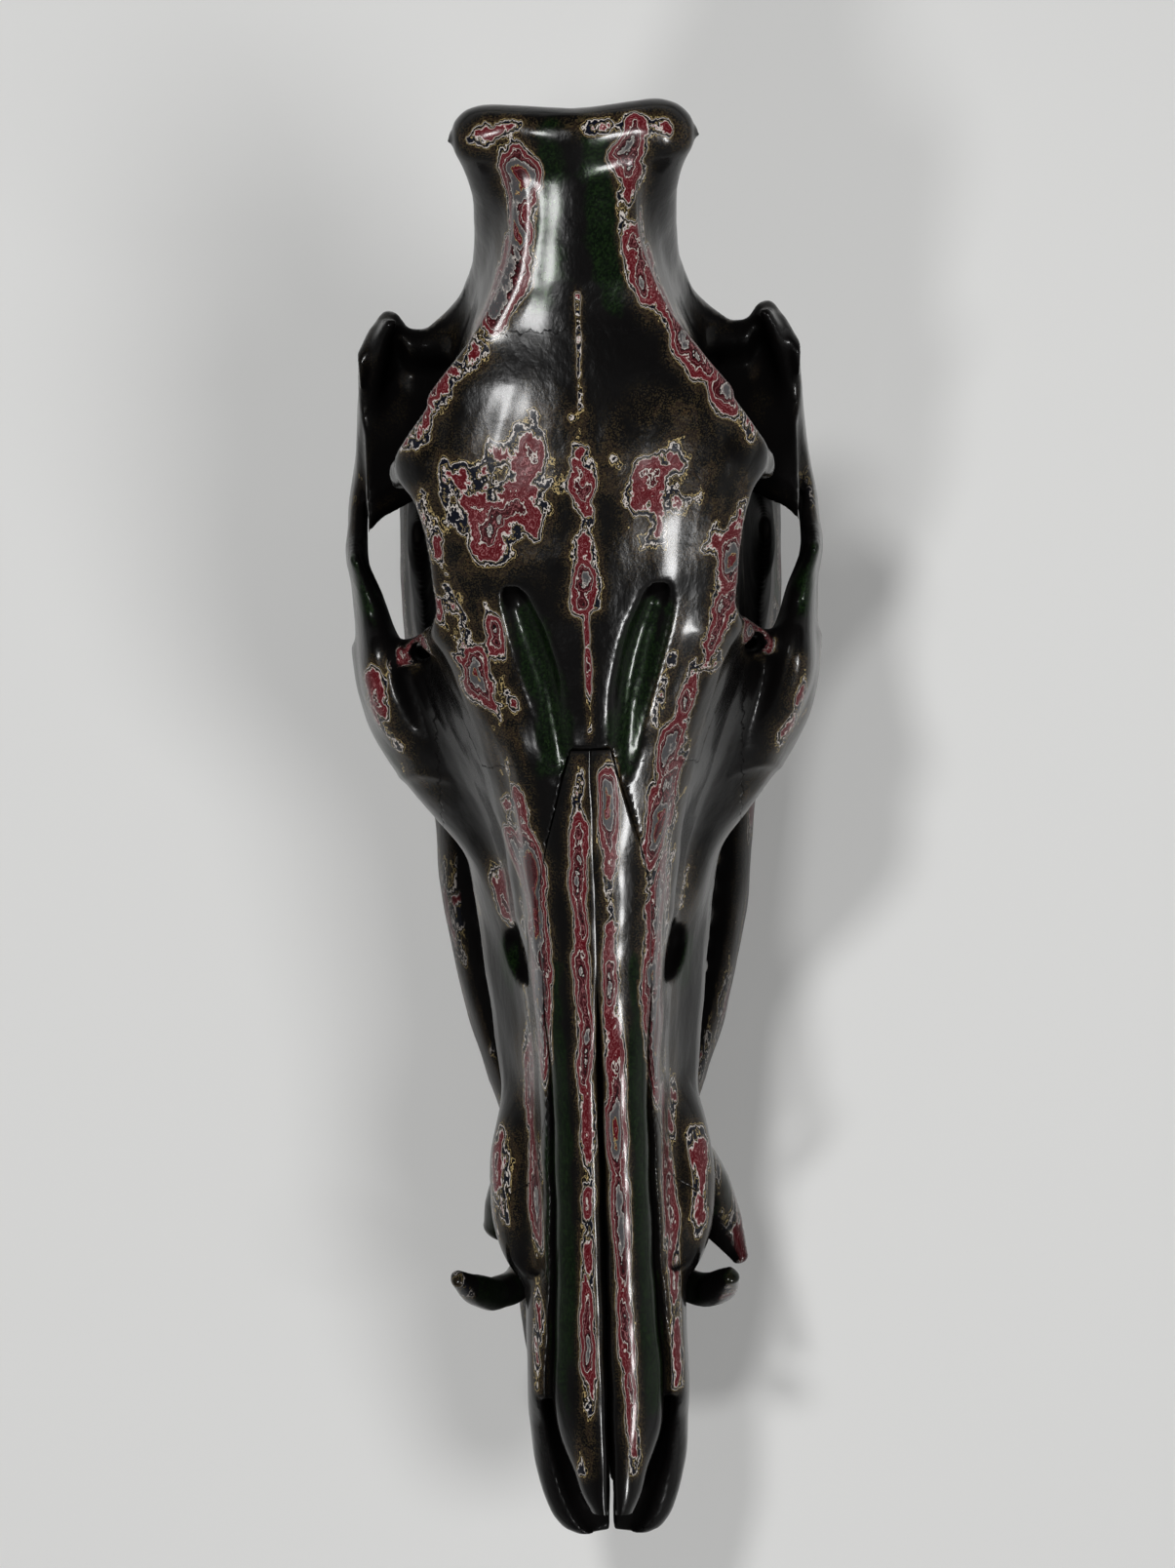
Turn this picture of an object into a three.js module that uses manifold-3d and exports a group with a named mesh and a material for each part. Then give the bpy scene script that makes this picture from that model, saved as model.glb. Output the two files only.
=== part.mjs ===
// A hog skull with its lower jaw, life size, resting on the lower jaw. Millimetres, +Z up.
// The nose points along -Y and the nape along +Y, so the animal's own left side is +X.
// The origin is on the floor, under the middle of the skull's length and width.

import * as THREE from 'three';
import { mergeVertices } from 'three/addons/utils/BufferGeometryUtils.js';
import Module from 'manifold-3d';

const wasm = await Module();
wasm.setup();
const { Manifold, Mesh: ManifoldMesh } = wasm;

// Driving dimensions
const skullLength = 332;
const zygomaticWidth = 114;
const nuchalWidth = 51;
const nuchalHeight = 203.1;
const sutureGap = 0.35;
const jawSwing = THREE.MathUtils.degToRad(-0.9);
const jawPivotY = -30;
const far = 400;

// Places along the skull
const noseTipY = -skullLength / 2;
const nuchalY = skullLength / 2;
const napeY = nuchalY - 7;
const nasalTipY = -158;
const notchY = -129;
const lowerTuskY = -104;
const canineY = -76;
const foramenY = -19;
const nasionY = 30;
const orbitFrontY = 56;
const orbitY = 74;
const postorbitalY = 93;
const condyleY = 131;
const jawJointY = 103;

const sides = { left: 1, right: -1 };

// Curves and solids

// A smooth curve through (place, value) knots that never overshoots them.
function profile(...knots) {
  const slopes = knots.slice(1).map((k, i) => (k[1] - knots[i][1]) / (k[0] - knots[i][0]));
  const tangents = knots.map((_, i) => {
    if (i === 0) return slopes[0];
    if (i === knots.length - 1) return slopes[i - 1];
    const [before, after] = [slopes[i - 1], slopes[i]];
    return before * after <= 0 ? 0 : (2 * before * after) / (before + after);
  });
  return (place) => {
    const last = knots.length - 2;
    const found = knots.findIndex((k, i) => i <= last && place <= knots[i + 1][0]);
    const i = found < 0 ? last : found;
    const span = knots[i + 1][0] - knots[i][0];
    const t = THREE.MathUtils.clamp((place - knots[i][0]) / span, 0, 1);
    const [t2, t3] = [t * t, t * t * t];
    return (2 * t3 - 3 * t2 + 1) * knots[i][1] + (t3 - 2 * t2 + t) * span * tangents[i]
      + (3 * t2 - 2 * t3) * knots[i + 1][1] + (t3 - t2) * span * tangents[i + 1];
  };
}

const steps = (from, to, count) =>
  Array.from({ length: count + 1 }, (_, i) => from + ((to - from) * i) / count);

const point = (x, y, z) => new THREE.Vector3(x, y, z);

// A closed skin over rings of equal length, with a fan over each end.
function loft(rings) {
  const count = rings[0].length;
  const middle = (ring) => ring.reduce((sum, p) => sum.add(p), point(0, 0, 0)).divideScalar(count);
  const points = [...rings.flat(), middle(rings[0]), middle(rings.at(-1))];
  const firstMiddle = points.length - 2;
  const lastRing = (rings.length - 1) * count;
  const index = [];
  for (let i = 0; i < count; i++) {
    const next = (i + 1) % count;
    for (let r = 0; r < rings.length - 1; r++) {
      const [a, b] = [r * count + i, r * count + next];
      index.push(a, b, b + count, a, b + count, a + count);
    }
    index.push(firstMiddle, next, i);
    index.push(firstMiddle + 1, lastRing + i, lastRing + next);
  }
  const geometry = new THREE.BufferGeometry().setFromPoints(points);
  geometry.setIndex(index);
  return solid(geometry);
}

// A closed three.js geometry as a solid that faces outwards.
function solid(geometry) {
  const bare = geometry.clone();
  bare.deleteAttribute('normal');
  bare.deleteAttribute('uv');
  const merged = mergeVertices(bare, 1e-4);
  const vertProperties = merged.attributes.position.array;
  const triVerts = Uint32Array.from(merged.index.array);
  const made = new Manifold(new ManifoldMesh({ numProp: 3, vertProperties, triVerts }));
  if (made.volume() > 0) return made;
  const turned = triVerts.map((_, i) => triVerts[i % 3 === 0 ? i : i + (i % 3 === 1 ? 1 : -1)]);
  return new Manifold(new ManifoldMesh({ numProp: 3, vertProperties, triVerts: turned }));
}

const join = (...solids) => solids.reduce((whole, one) => whole.add(one));

function ellipsoid(centre, radii, turnZ = 0) {
  const geometry = new THREE.SphereGeometry(1, 10, 6);
  geometry.scale(radii.x, radii.y, radii.z).rotateZ(turnZ).translate(centre.x, centre.y, centre.z);
  return solid(geometry);
}

// The block between two corners.
function block(low, high) {
  const size = high.clone().sub(low);
  const geometry = new THREE.BoxGeometry(size.x, size.y, size.z);
  const centre = low.clone().add(high).divideScalar(2);
  return solid(geometry.translate(centre.x, centre.y, centre.z));
}

// All that lies to one side of the middle, short of it by the gap.
function sideSpace(side, gap) {
  const ends = [point(side * gap, -far, -far), point(side * far, far, far)];
  return block(ends[0].clone().min(ends[1]), ends[0].clone().max(ends[1]));
}

// A rounded plate section across Y: squareness 2 is an ellipse, more is squarer.
// The lean moves its upper edge inwards.
function plateRing({ y, inner, outer, lower, upper, lean = 0, squareness = 3, count = 10, side = 1 }) {
  const [cx, cz] = [(inner + outer) / 2, (lower + upper) / 2];
  const [hx, hz] = [(outer - inner) / 2, (upper - lower) / 2];
  const rounded = (v) => Math.sign(v) * Math.abs(v) ** (2 / squareness);
  return Array.from({ length: count }, (_, i) => {
    const turn = (2 * Math.PI * (i + 0.5)) / count;
    const [u, v] = [rounded(Math.cos(turn)), rounded(Math.sin(turn))];
    return point(side * (cx + hx * u - lean * v), y, cz + hz * v);
  });
}

// A round bar along a smooth path, with a radius at each of the path's points.
// A bar that is grown is thicker and longer all round by that much.
function bar(points, radii, { count = 8, segments = 6, flat = 1, grow = 0 } = {}) {
  const path = new THREE.CatmullRomCurve3(points, false, 'centripetal');
  const radiusAt = profile(...radii.map((r, i) => [i / (radii.length - 1), r]));
  const { tangents, normals, binormals } = path.computeFrenetFrames(segments);
  const rings = steps(0, 1, segments).map((t, s) => {
    const reach = s === 0 ? -grow : s === segments ? grow : 0;
    const centre = path.getPointAt(t).addScaledVector(tangents[s], reach);
    const radius = radiusAt(path.getUtoTmapping(t)) + grow;
    return Array.from({ length: count }, (_, i) => {
      const turn = (2 * Math.PI * i) / count;
      return centre.clone()
        .addScaledVector(normals[s], radius * Math.cos(turn))
        .addScaledVector(binormals[s], radius * flat * Math.sin(turn));
    });
  });
  return loft(rings);
}

const mirrorPoint = (side) => (x, y, z) => point(side * x, y, z);

// The cranium: profiles along Y

const dorsalHeight = profile([-158, 92.5], [-130, 99], [-75, 114], [foramenY, 131], [nasionY, 150],
  [55, 160], [75, 169.5], [95, 178], [107, 182], [118, 185.6], [130, 189.8], [150, 197.3],
  [napeY, nuchalHeight - 2.3]);
const dorsalEdge = profile([-158, 4], [-152, 7], [-146, 8.7], [-140, 10.9], [-133, 13.2], [-126, 14.4],
  [-94, 13.6], [-46, 12.4], [-6, 14], [nasionY, 18.9], [57, 27], [80, 29], [96, 30], [108, 27], [118, 20.5],
  [126, 15.5], [140, 11], [150, 10.6], [166, 13]);
const dorsalDrop = profile([-158, 1.5], [-126, 5], [-46, 4.5], [nasionY, 5], [75, 4], [110, 3], [166, 1.5]);
const wallHalf = profile([-158, 3.8], [-152, 6.6], [-146, 8.3], [-140, 10.4], [-130, 13.2], [-122, 17],
  [-110, 17.5], [-75, 18], [-50, 17], [foramenY, 18.5], [10, 21], [nasionY, 22], [45, 21], [56, 18.5],
  [75, 17], [92, 21], [105, 27], [118, 27.6], [130, 24.2], [142, 20.6], [152, 19.6], [160, 17.5], [166, 14]);
const baseHalf = profile([-158, 3.6], [-146, 8], [-140, 10], [-130, 13], [-120, 18], [-97, 19.5], [-75, 22],
  [-50, 24.5], [foramenY, 27.8], [4, 30], [nasionY, 30], [45, 28], [56, 22], [75, 18], [92, 20], [110, 25],
  [128, 24], [140, 19.4], [152, 16.4], [166, 12]);
const ventralHeight = profile([-158, 88.5], [-130, 91.5], [-124, 84], [-116, 74], [-97, 74], [-50, 77],
  [45, 78], [52, 84], [62, 96], [90, 104], [126, 106], [132, 114], [140, 138], [150, 170], [158, 190],
  [166, 198]);
const palateArch = profile([-125, 0], [-100, 3], [-50, 5], [45, 6], [60, 0], [166, 0]);

// A smooth closed ring through the corners of an outline.
const smoothRing = (corners, count) =>
  new THREE.CatmullRomCurve3(corners, true, 'centripetal').getPoints(count).slice(0, count);

// A ring across Y from its top, the corners of its +X half and its bottom.
function mirroredRing(y, top, half, bottom, count) {
  const outline = [[0, top], ...half, [0, bottom], ...half.map(([x, z]) => [-x, z]).reverse()];
  return smoothRing(outline.map(([x, z]) => point(x, y, z)), count);
}

// One cross-section of muzzle, face or braincase.
function craniumRing(y) {
  const [top, bottom, edge, drop] = [dorsalHeight(y), ventralHeight(y), dorsalEdge(y), dorsalDrop(y)];
  const height = top - bottom;
  const half = [
    [edge * 0.6, top - drop * 0.3],
    [edge, top - drop],
    [wallHalf(y), bottom + height * 0.5],
    [baseHalf(y), bottom + height * 0.14],
    [baseHalf(y) * 0.72, bottom],
  ];
  return mirroredRing(y, top, half, bottom + palateArch(y), 22);
}

function craniumCore() {
  const places = [...steps(nasalTipY, notchY, 4), ...steps(notchY + 6, napeY, 28)];
  return loft(places.map((y) => craniumRing(y)));
}

// The flat roof over the eye sockets, out to the brow and the temporal lines.
const browHalf = profile([28, 16], [45, 25.5], [56, 32.3], [64, 34], [74, 34.8], [80, 35.7], [86, 37.5],
  [91, 39.6], [95, 40.5], [98, 39], [106, 33], [115, 25], [124, 16.5], [130, 12]);
const browDrop = profile([28, 5], [56, 8], [75, 7], [95, 10], [110, 5], [130, 3]);
const browThickness = 6;
const browDepth = 17;

function browPlate() {
  const ring = (y) => {
    const [top, rim, drop] = [dorsalHeight(y), browHalf(y), browDrop(y)];
    const half = [
      [rim * 0.6, top - drop * 0.3],
      [rim - 1.5, top - drop],
      [rim, top - drop - browThickness * 0.5],
      [rim - 2.5, top - drop - browThickness],
      [rim * 0.5, top - drop - browThickness * 1.6],
    ];
    return mirroredRing(y, top, half, top - browDepth, 18);
  };
  const places = [...steps(28, 80, 6), 86, 91, 95, 99, 106, 115, 130];
  return loft(places.map(ring));
}

// The blunt horn of the brow that bounds the eye socket behind.
function postorbitalProcess(side) {
  const at = mirrorPoint(side);
  return bar([at(33, postorbitalY + 1, 165), at(39, postorbitalY, 157.5), at(41.5, postorbitalY - 1.5, 150)],
    [5.5, 3.8, 1.8], { segments: 5, count: 9 });
}

// The cheek in front of the eye socket, sloping out from the muzzle to the cheekbone.
const cheekFrontY = -26;
const cheekOuter = profile([cheekFrontY, 16], [-14, 21], [-4, 26.5], [4, 30], [9, 33], [15, 38], [23, 44.3],
  [30, 48.6], [39, 52.8], [48, 54.8], [57, 55.6]);
const cheekHeight = profile([cheekFrontY, 90], [-4, 93], [15, 97], [30, 102], [57, 108]);
const cheekLower = profile([cheekFrontY, 84], [-4, 86], [15, 89], [30, 90], [57, 88]);
const cheekTop = profile([cheekFrontY, 108], [-4, 118], [15, 130], [30, 140], [57, 153]);
const cheekHollow = 3;

function cheek(side) {
  const at = mirrorPoint(side);
  const ring = (y) => {
    const [outer, wide, low, top] = [cheekOuter(y), cheekHeight(y), cheekLower(y), cheekTop(y)];
    const crest = Math.min(dorsalEdge(y) + 3, outer - 7);
    const outline = [
      [crest - 8, top - 1],
      [crest, top],
      [(crest + outer) / 2 - cheekHollow, (top + wide) / 2],
      [outer - 2, wide + 8],
      [outer, wide],
      [outer - 3, low],
      [outer - 14, low + 1],
      [13, low + 6],
    ];
    return smoothRing(outline.map(([x, z]) => at(x, y, z)), 14);
  };
  return loft(steps(cheekFrontY, orbitFrontY, 10).map(ring));
}

// The cheekbone and arch, a standing plate that bows out round the jaw muscle's gap.
const archHalf = zygomaticWidth / 2;
const archOuter = profile([24, 45], [30, 48.6], [39, 52.8], [48, 55], [58, archHalf - 0.8],
  [68, archHalf - 0.4], [80, archHalf], [88, archHalf - 0.3], [97, archHalf - 1.9], [108, archHalf - 4.1],
  [118, archHalf - 6], [124, 48], [129, 44]);
const archThickness = profile([24, 11], [40, 12], [56, 10.8], [62, 9], [68, 7.4], [72, 6], [76, 5],
  [80, 4.6], [118, 5.2], [129, 3]);
const archUpper = profile([24, 112], [45, 127], [56, 131], [62, 129], [68, 132], [75, 138.5], [78.5, 133],
  [83, 126], [90, 122.5], [100, 127], [110, 134], [118, 141], [124, 147], [129, 151]);
const archLower = profile([24, 92], [30, 90], [48, 88], [66, 89], [80, 93], [92, 99], [104, 108], [114, 117],
  [122, 128], [129, 145]);
const archLean = profile([24, 2], [46, 1], [58, 1.6], [70, 1.6], [80, 0.8], [129, 1]);

function zygomaticArch(side) {
  const places = [...steps(26, 66, 6), 70, 75, 78.5, 83, ...steps(89, 128.5, 7)];
  return loft(places.map((y) => {
    const lean = archLean(y);
    const outer = archOuter(y) - Math.abs(lean) / 2;
    return plateRing({
      y, side, outer, inner: outer - archThickness(y), lower: archLower(y), upper: archUpper(y), lean,
    });
  }));
}

// The shelf over the jaw joint, from the braincase out to the arch's hooked back end.
const shelfFront = profile([18, 97], [30, 94], [38, 90], [43, 87.5], [47, 85.5], [50, 82.5]);
const shelfBack = profile([18, 133], [25, 132.5], [31, 128.5], [35, 126.6], [38.5, 126.9], [41.5, 130.4],
  [43.5, 131], [46.5, 128], [50, 121.5]);
const shelfLow = profile([18, 121.5], [50, 124.5]);
const shelfHigh = profile([18, 136], [50, 140]);

function jointShelf(side) {
  const rings = [18, 25, 31, 35, 38.5, 41.5, 44, 47, 50].map((x) => {
    const [front, back, low, high] = [shelfFront(x), shelfBack(x), shelfLow(x), shelfHigh(x)];
    const outline = [
      [front, low + 3], [front + 4, low], [back - 8, low], [back, low + 8], [back, high + 3],
      [back - 4, high + 3], [back - 9, high - 5], [front + 6, low + 9],
    ];
    return smoothRing(outline.map(([y, z]) => point(side * x, y, z)), 10);
  });
  return loft(rings);
}

// The thick rim across the nape: a dip in the middle, a wing to each side.
const crestDepth = 11;
const crestThickness = 11.2;
const crestDip = 2.4;
const crestSetback = 1.76;
const crestFall = 3.5;

function nuchalCrest() {
  const half = nuchalWidth / 2;
  const middleY = nuchalY - crestDepth / 2 - crestSetback;
  const rings = steps(-half, half, 10).map((x) => {
    const u = Math.abs(x) / half;
    const taper = Math.sqrt(Math.max(0, 1 - u ** 6)) * 0.85 + 0.15;
    const centreY = middleY + crestDip * Math.sin(Math.PI * 0.62 * u) ** 2 - 1.6 * u ** 4;
    const centreZ = nuchalHeight - crestThickness / 2 - crestFall * u ** 2;
    return Array.from({ length: 8 }, (_, i) => {
      const turn = (2 * Math.PI * i) / 8;
      return point(x, centreY + (crestDepth / 2) * taper * Math.cos(turn),
        centreZ + (crestThickness / 2) * taper * Math.sin(turn));
    });
  });
  return loft(rings);
}

// The ridge that runs down from each corner of the rim to the shelf over the jaw joint.
function lambdoidRidge(side) {
  const at = mirrorPoint(side);
  const course = [at(19.5, 157.5, 193), at(17, 150, 178), at(17, 142, 162), at(20, 134, 148),
    at(27, 125, 139)];
  return bar(course, [4.6, 4.2, 4, 4.5, 5], { segments: 6 });
}

// The underside of the braincase
const pterygoidLower = profile([42, 82], [58, 76], [70, 80], [88, 99]);

function skullBase(side) {
  const at = mirrorPoint(side);
  const condyle = ellipsoid(at(11.5, condyleY, 113), point(8, 9, 10));
  const paracondylar = bar([at(23, 123, 122), at(26, 121, 95), at(23.5, 117, 66)], [7.5, 5, 1.8],
    { segments: 5 });
  const bulla = ellipsoid(at(16, 107, 98), point(8, 10, 14));
  const pterygoid = loft(steps(42, 88, 4).map((y) => plateRing({
    y, side, inner: 9, outer: 14.5,
    lower: pterygoidLower(y), upper: 110, squareness: 3, count: 8,
  })));
  return join(condyle, paracondylar, bulla, pterygoid);
}

// The bony ridge over the upper tusk's socket.
function canineRidge(side) {
  const at = mirrorPoint(side);
  return ellipsoid(at(19.5, canineY, 89), point(8.3, 22, 10));
}

// The scoop of the premaxilla, in front of and below the nasal bones.
const scoopOuter = profile([-166, 8.5], [-165, 11.5], [-162.5, 14], [-160, 15.5], [-153, 17.8], [-143, 19.3],
  [-131, 20], [-97, 19.4]);
const scoopUpper = profile([-166, 77], [-150, 82], [-136, 90], [-128, 97], [-97, 103]);
const scoopLower = profile([-166, 67], [-140, 69], [-97, 74]);
const scoopWall = 3.2;
const scoopFloor = 6.5;

function premaxillaScoop() {
  const places = [-166, -164.8, -162, -157, ...steps(-150, -132, 3), ...steps(-126, -97, 3)];
  const outside = loft(places.map((y) => plateRing({
    y, inner: -scoopOuter(y), outer: scoopOuter(y), lower: scoopLower(y), upper: scoopUpper(y),
    squareness: 3.4, count: 14,
  })));
  const inside = loft([-172, -164, ...steps(-159, -128, 3)].map((y) => plateRing({
    y, inner: scoopWall - scoopOuter(y), outer: scoopOuter(y) - scoopWall,
    lower: scoopLower(y) + scoopFloor, upper: nuchalHeight, squareness: 4, count: 12,
  })));
  return outside.subtract(inside);
}

// The air passage that opens under the nasal bones.
function nasalPassage() {
  return loft(steps(-150, -70, 3).map((y) => plateRing({
    y, inner: -11, outer: 11, lower: scoopLower(y) + scoopFloor + 1,
    upper: dorsalHeight(y) - nasalThickness - 1, squareness: 2.6, count: 10,
  })));
}

// The holes and grooves of the face. A groove's course gives how far its axis is above the roof.
const foramenTurn = 0.38;
const orbitTurn = 0.26;
const grooveCourse = [[15.5, 63, 1], [13, 54, 1.6], [10.5, 44, 1.8], [8.6, 34, 2], [7.4, 24, 2.4]];
const grooveRadii = [3.2, 4.4, 4.6, 4, 2.8];
const roofRounding = 2.36;

// How high the skull's roof is, at a place in plan over the face and forehead.
function roof(x, y) {
  const [half, drop] = y > 40 ? [browHalf(y), browDrop(y)] : [dorsalEdge(y), dorsalDrop(y)];
  return dorsalHeight(y) - drop * (x / half) ** roofRounding;
}

// The ledge of the tear bone, across the front corner of the eye socket.
function lacrimalLedge(side) {
  const at = mirrorPoint(side);
  const course = [at(30.5, 58.5, 150), at(35, 56.5, 141), at(40, 54.5, 131), at(45, 53, 122)];
  return bar(course, [3.4, 3, 2.6, 2], { segments: 5 });
}

function faceHollows(side) {
  const at = mirrorPoint(side);
  const foramen = ellipsoid(at(19.6, foramenY + 0.5, 106), point(4.6, 7.6, 8), -side * foramenTurn);
  const orbit = ellipsoid(at(37.5, orbitY + 1, 140), point(13, 22.5, 16), side * orbitTurn);
  const groovePath = grooveCourse.map(([x, y, lift]) => at(x, y, roof(x, y) + lift));
  const groove = bar(groovePath, grooveRadii, { segments: 6 });
  return join(foramen, orbit, groove);
}

// Teeth

const cheekTeeth = [
  { length: 27, upperWidth: 15.5, lowerWidth: 12.5 },
  { length: 19, upperWidth: 14.5, lowerWidth: 12 },
  { length: 15, upperWidth: 12.5, lowerWidth: 10.5 },
  { length: 12, upperWidth: 11.5, lowerWidth: 9 },
  { length: 12, upperWidth: 8.5, lowerWidth: 7.5 },
  { length: 11, upperWidth: 6.5, lowerWidth: 6 },
  { length: 7, upperWidth: 5, lowerWidth: 4.5 },
];
const toothRowBackY = 46;
const upperRowX = profile([-60, 19.5], [-20, 22], [46, 24]);
const lowerRowX = profile([-60, 19], [-20, 24], [46, 29]);
const upperGumZ = 79;
const lowerGumZ = 51;
const biteZ = 65;
const biteGap = 0.8;

// One crown: a rounded block, widest above the gum, whose chewing face narrows.
function crown(x, y, width, length, gumZ, faceZ) {
  const levels = [[-0.35, 0.86], [0.55, 1], [1, 0.74]];
  const rings = levels.map(([height, scale]) => Array.from({ length: 8 }, (_, i) => {
    const turn = (2 * Math.PI * (i + 0.5)) / 8;
    const z = gumZ + (faceZ - gumZ) * height;
    return point(x + (width / 2) * scale * 1.06 * Math.cos(turn),
      y + (length / 2) * scale * 1.06 * Math.sin(turn), z);
  }));
  return loft(rings);
}

function toothRow(side, upper) {
  let back = toothRowBackY;
  const crowns = cheekTeeth.map(({ length, upperWidth, lowerWidth }) => {
    const y = back - length / 2;
    back -= length;
    return upper
      ? crown(side * upperRowX(y), y, upperWidth, length, upperGumZ, biteZ + biteGap / 2)
      : crown(side * lowerRowX(y), y, lowerWidth, length, lowerGumZ, biteZ - biteGap / 2);
  });
  return join(...crowns);
}

// Upper front teeth curve down and in from the premaxilla, lower ones lie forward.
function incisors(side, upper) {
  const at = mirrorPoint(side);
  const rows = [0, 1, 2];
  const made = rows.map((i) => {
    const x = 5 + 4.2 * i;
    const y = noseTipY + 6 + 5.5 * i * (i > 1 ? 1.25 : 0.7);
    const size = 3.1 - 0.45 * i;
    return upper
      ? bar([at(x, y + 4, 73), at(x * 0.97, y + 1.5, 67), at(x * 0.85, y + 1.5, 62.5 + i)],
        [size, size, size * 0.55], { segments: 3, count: 6, flat: 0.75 })
      : bar([at(x * 0.85, y + 16, 50), at(x * 0.8, y + 8, 56), at(x * 0.72, y + 4.5, 60.5 - i)],
        [size, size, size * 0.6], { segments: 3, count: 6, flat: 0.75 });
  });
  return join(...made);
}

// The lower jaw

const jawOuter = profile([-153, 9], [-140, 15], [-126, 19.6], [-114, 21.5], [-103, 22.3], [-88, 22.5],
  [-64.5, 25.9], [-55, 29], [-38.5, 34.2], [-22, 38], [-2.5, 41.2], [10, 42], [40, 45.5], [70, 48.7],
  [106, 49]);
const jawInner = profile([-98, 1], [-88, 1], [-80, 3], [-74, 5], [-60, 12], [-38, 20], [-20, 24], [0, 25.5],
  [40, 29], [60, 35], [106, 40]);
const jawUpper = profile([-153, 57], [-130, 55.5], [-100, 53], [-50, 53], [45, 54], [60, 62], [106, 60]);
const jawLower = profile([-153, 50], [-140, 39], [-120, 23], [-100, 9], [-86, 2], [-70, -1.2], [-35, -0.6],
  [0, 2.5], [35, 2.5], [62, -0.6], [90, -1.2], [100, 4], [106, 16]);
const ramusFront = profile([6, 64], [20, 58], [45, 51], [60, 52], [80, 60], [100, 68], [112, 72], [128, 79]);
const ramusBack = profile([6, 100], [20, 108], [40, 113], [60, 113], [80, 110], [96, 107], [104, 98],
  [112, 90], [128, 84]);
const ramusMiddleX = profile([0, 46], [30, 45], [60, 42.8], [95, 41.2], [128, 40.5]);
const ramusThickness = profile([0, 9], [45, 9], [80, 7], [110, 6], [128, 2.5]);

// How far the body's front end is sunk into the chin.
const chinFrontY = -153;
const bodyFrontY = -98;
const jawBackY = 106;
const bodyTuck = profile([bodyFrontY, 6], [-88, 3], [-72, 0], [jawBackY, 0]);

function jawHalf(side) {
  const at = mirrorPoint(side);
  const section = (y, inner, tuck) => plateRing({
    y, side, inner, outer: jawOuter(y) - tuck, lower: jawLower(y) + tuck, upper: jawUpper(y) - tuck,
    squareness: 2.9, count: 12,
  });
  const chin = loft(steps(chinFrontY, -77, 7).map((y) => section(y, -jawOuter(y), 0)));
  const body = loft(steps(bodyFrontY, jawBackY, 16).map((y) => section(y, jawInner(y), bodyTuck(y))));
  const ramus = loft(steps(6, 128, 9).map((z) => {
    const [front, back, thick] = [ramusFront(z), ramusBack(z), ramusThickness(z)];
    return Array.from({ length: 10 }, (_, i) => {
      const turn = (2 * Math.PI * i) / 10;
      const rounded = Math.sign(Math.cos(turn)) * Math.abs(Math.cos(turn)) ** 0.8;
      return at(ramusMiddleX(z) + (thick / 2) * Math.sin(turn), (front + back) / 2
        + ((back - front) / 2) * rounded, z);
    });
  }));
  const neck = bar([at(42.5, 101, 92), at(40, jawJointY, 104), at(36, jawJointY, 112)], [5.5, 4.8, 4.6],
    { segments: 4 });
  const head = ellipsoid(at(34.5, jawJointY, 113.6), point(9, 6.5, 5));
  const bone = join(chin.intersect(sideSpace(side, sutureGap / 2)), body, ramus, neck, head,
    toothRow(side, false), incisors(side, false));
  return bone.subtract(block(point(-far, -far, -far), point(far, far, 0)));
}

// Tusks, each a tapering horn along its own curve

const tuskSocketGap = 0.4;
const lowerTuskReach = { left: 0, right: 3 };
const lowerTuskRadii = [4.2, 4.2, 4.2, 4, 2.4];
const upperTuskPaths = {
  left: [[17, -66, 90], [24, -78, 81], [29.5, -88, 76], [34, -97, 77]],
  right: [[17, -66, 90], [21, -76, 84], [24, -83, 80], [26, -87.5, 78]],
};
const upperTuskRadii = { left: [8.2, 7.8, 5.6, 2.4], right: [7, 6.4, 5.6, 4.2] };

function lowerTusk(name, grow = 0) {
  const at = mirrorPoint(sides[name]);
  const reach = lowerTuskReach[name];
  const course = [at(15, lowerTuskY + 8, 44), at(20.5, lowerTuskY - 1, 58), at(26, lowerTuskY - 1.8, 71),
    at(29.5 + reach * 0.4, lowerTuskY + 1, 83), at(31.8 + reach, lowerTuskY + 5.2, 92)];
  return bar(course, lowerTuskRadii, { segments: 9, count: 9, grow });
}

// The left upper tusk is whole, the right one is a worn stump.
function upperTusk(name, grow = 0) {
  const at = mirrorPoint(sides[name]);
  return bar(upperTuskPaths[name].map((p) => at(...p)), upperTuskRadii[name],
    { segments: 7, count: 10, grow });
}

// The cranium, whole, and then parted along its sutures

const nasalThickness = 7;
const nasalSlit = 0.7;
const nasalHalf = profile([-170, 15], [-126, 15], [-94, 13], [-46, 12], [-26, 12.8], [-8, 13.2], [6, 11.2],
  [18, 7.8], [nasionY, 4.6]);

// The space that holds the two nasal bones, wider by the given margin.
function nasalSpace(margin) {
  const rings = [-170, ...steps(nasalTipY, -126, 3), ...steps(-100, -8, 5), 6, 18, nasionY].map((y) => {
    const half = Math.max(nasalHalf(y) + margin, 1);
    const floor = dorsalHeight(Math.max(y, nasalTipY)) - nasalThickness - margin;
    const shift = y === nasionY ? margin : 0;
    return [[-half, floor], [half, floor], [half, nuchalHeight], [-half, nuchalHeight]]
      .map(([x, z]) => point(x, y + shift, z));
  });
  return loft(rings);
}

// A side outline of (y, z) corners, drawn out right across the skull.
function sidePrism(corners) {
  const shape = new THREE.Shape(corners.map(([y, z]) => new THREE.Vector2(y, z)));
  const geometry = new THREE.ExtrudeGeometry(shape, { depth: 2 * far, bevelEnabled: false });
  return solid(geometry.rotateX(Math.PI / 2).rotateZ(Math.PI / 2).translate(-far, 0, 0));
}

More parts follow.
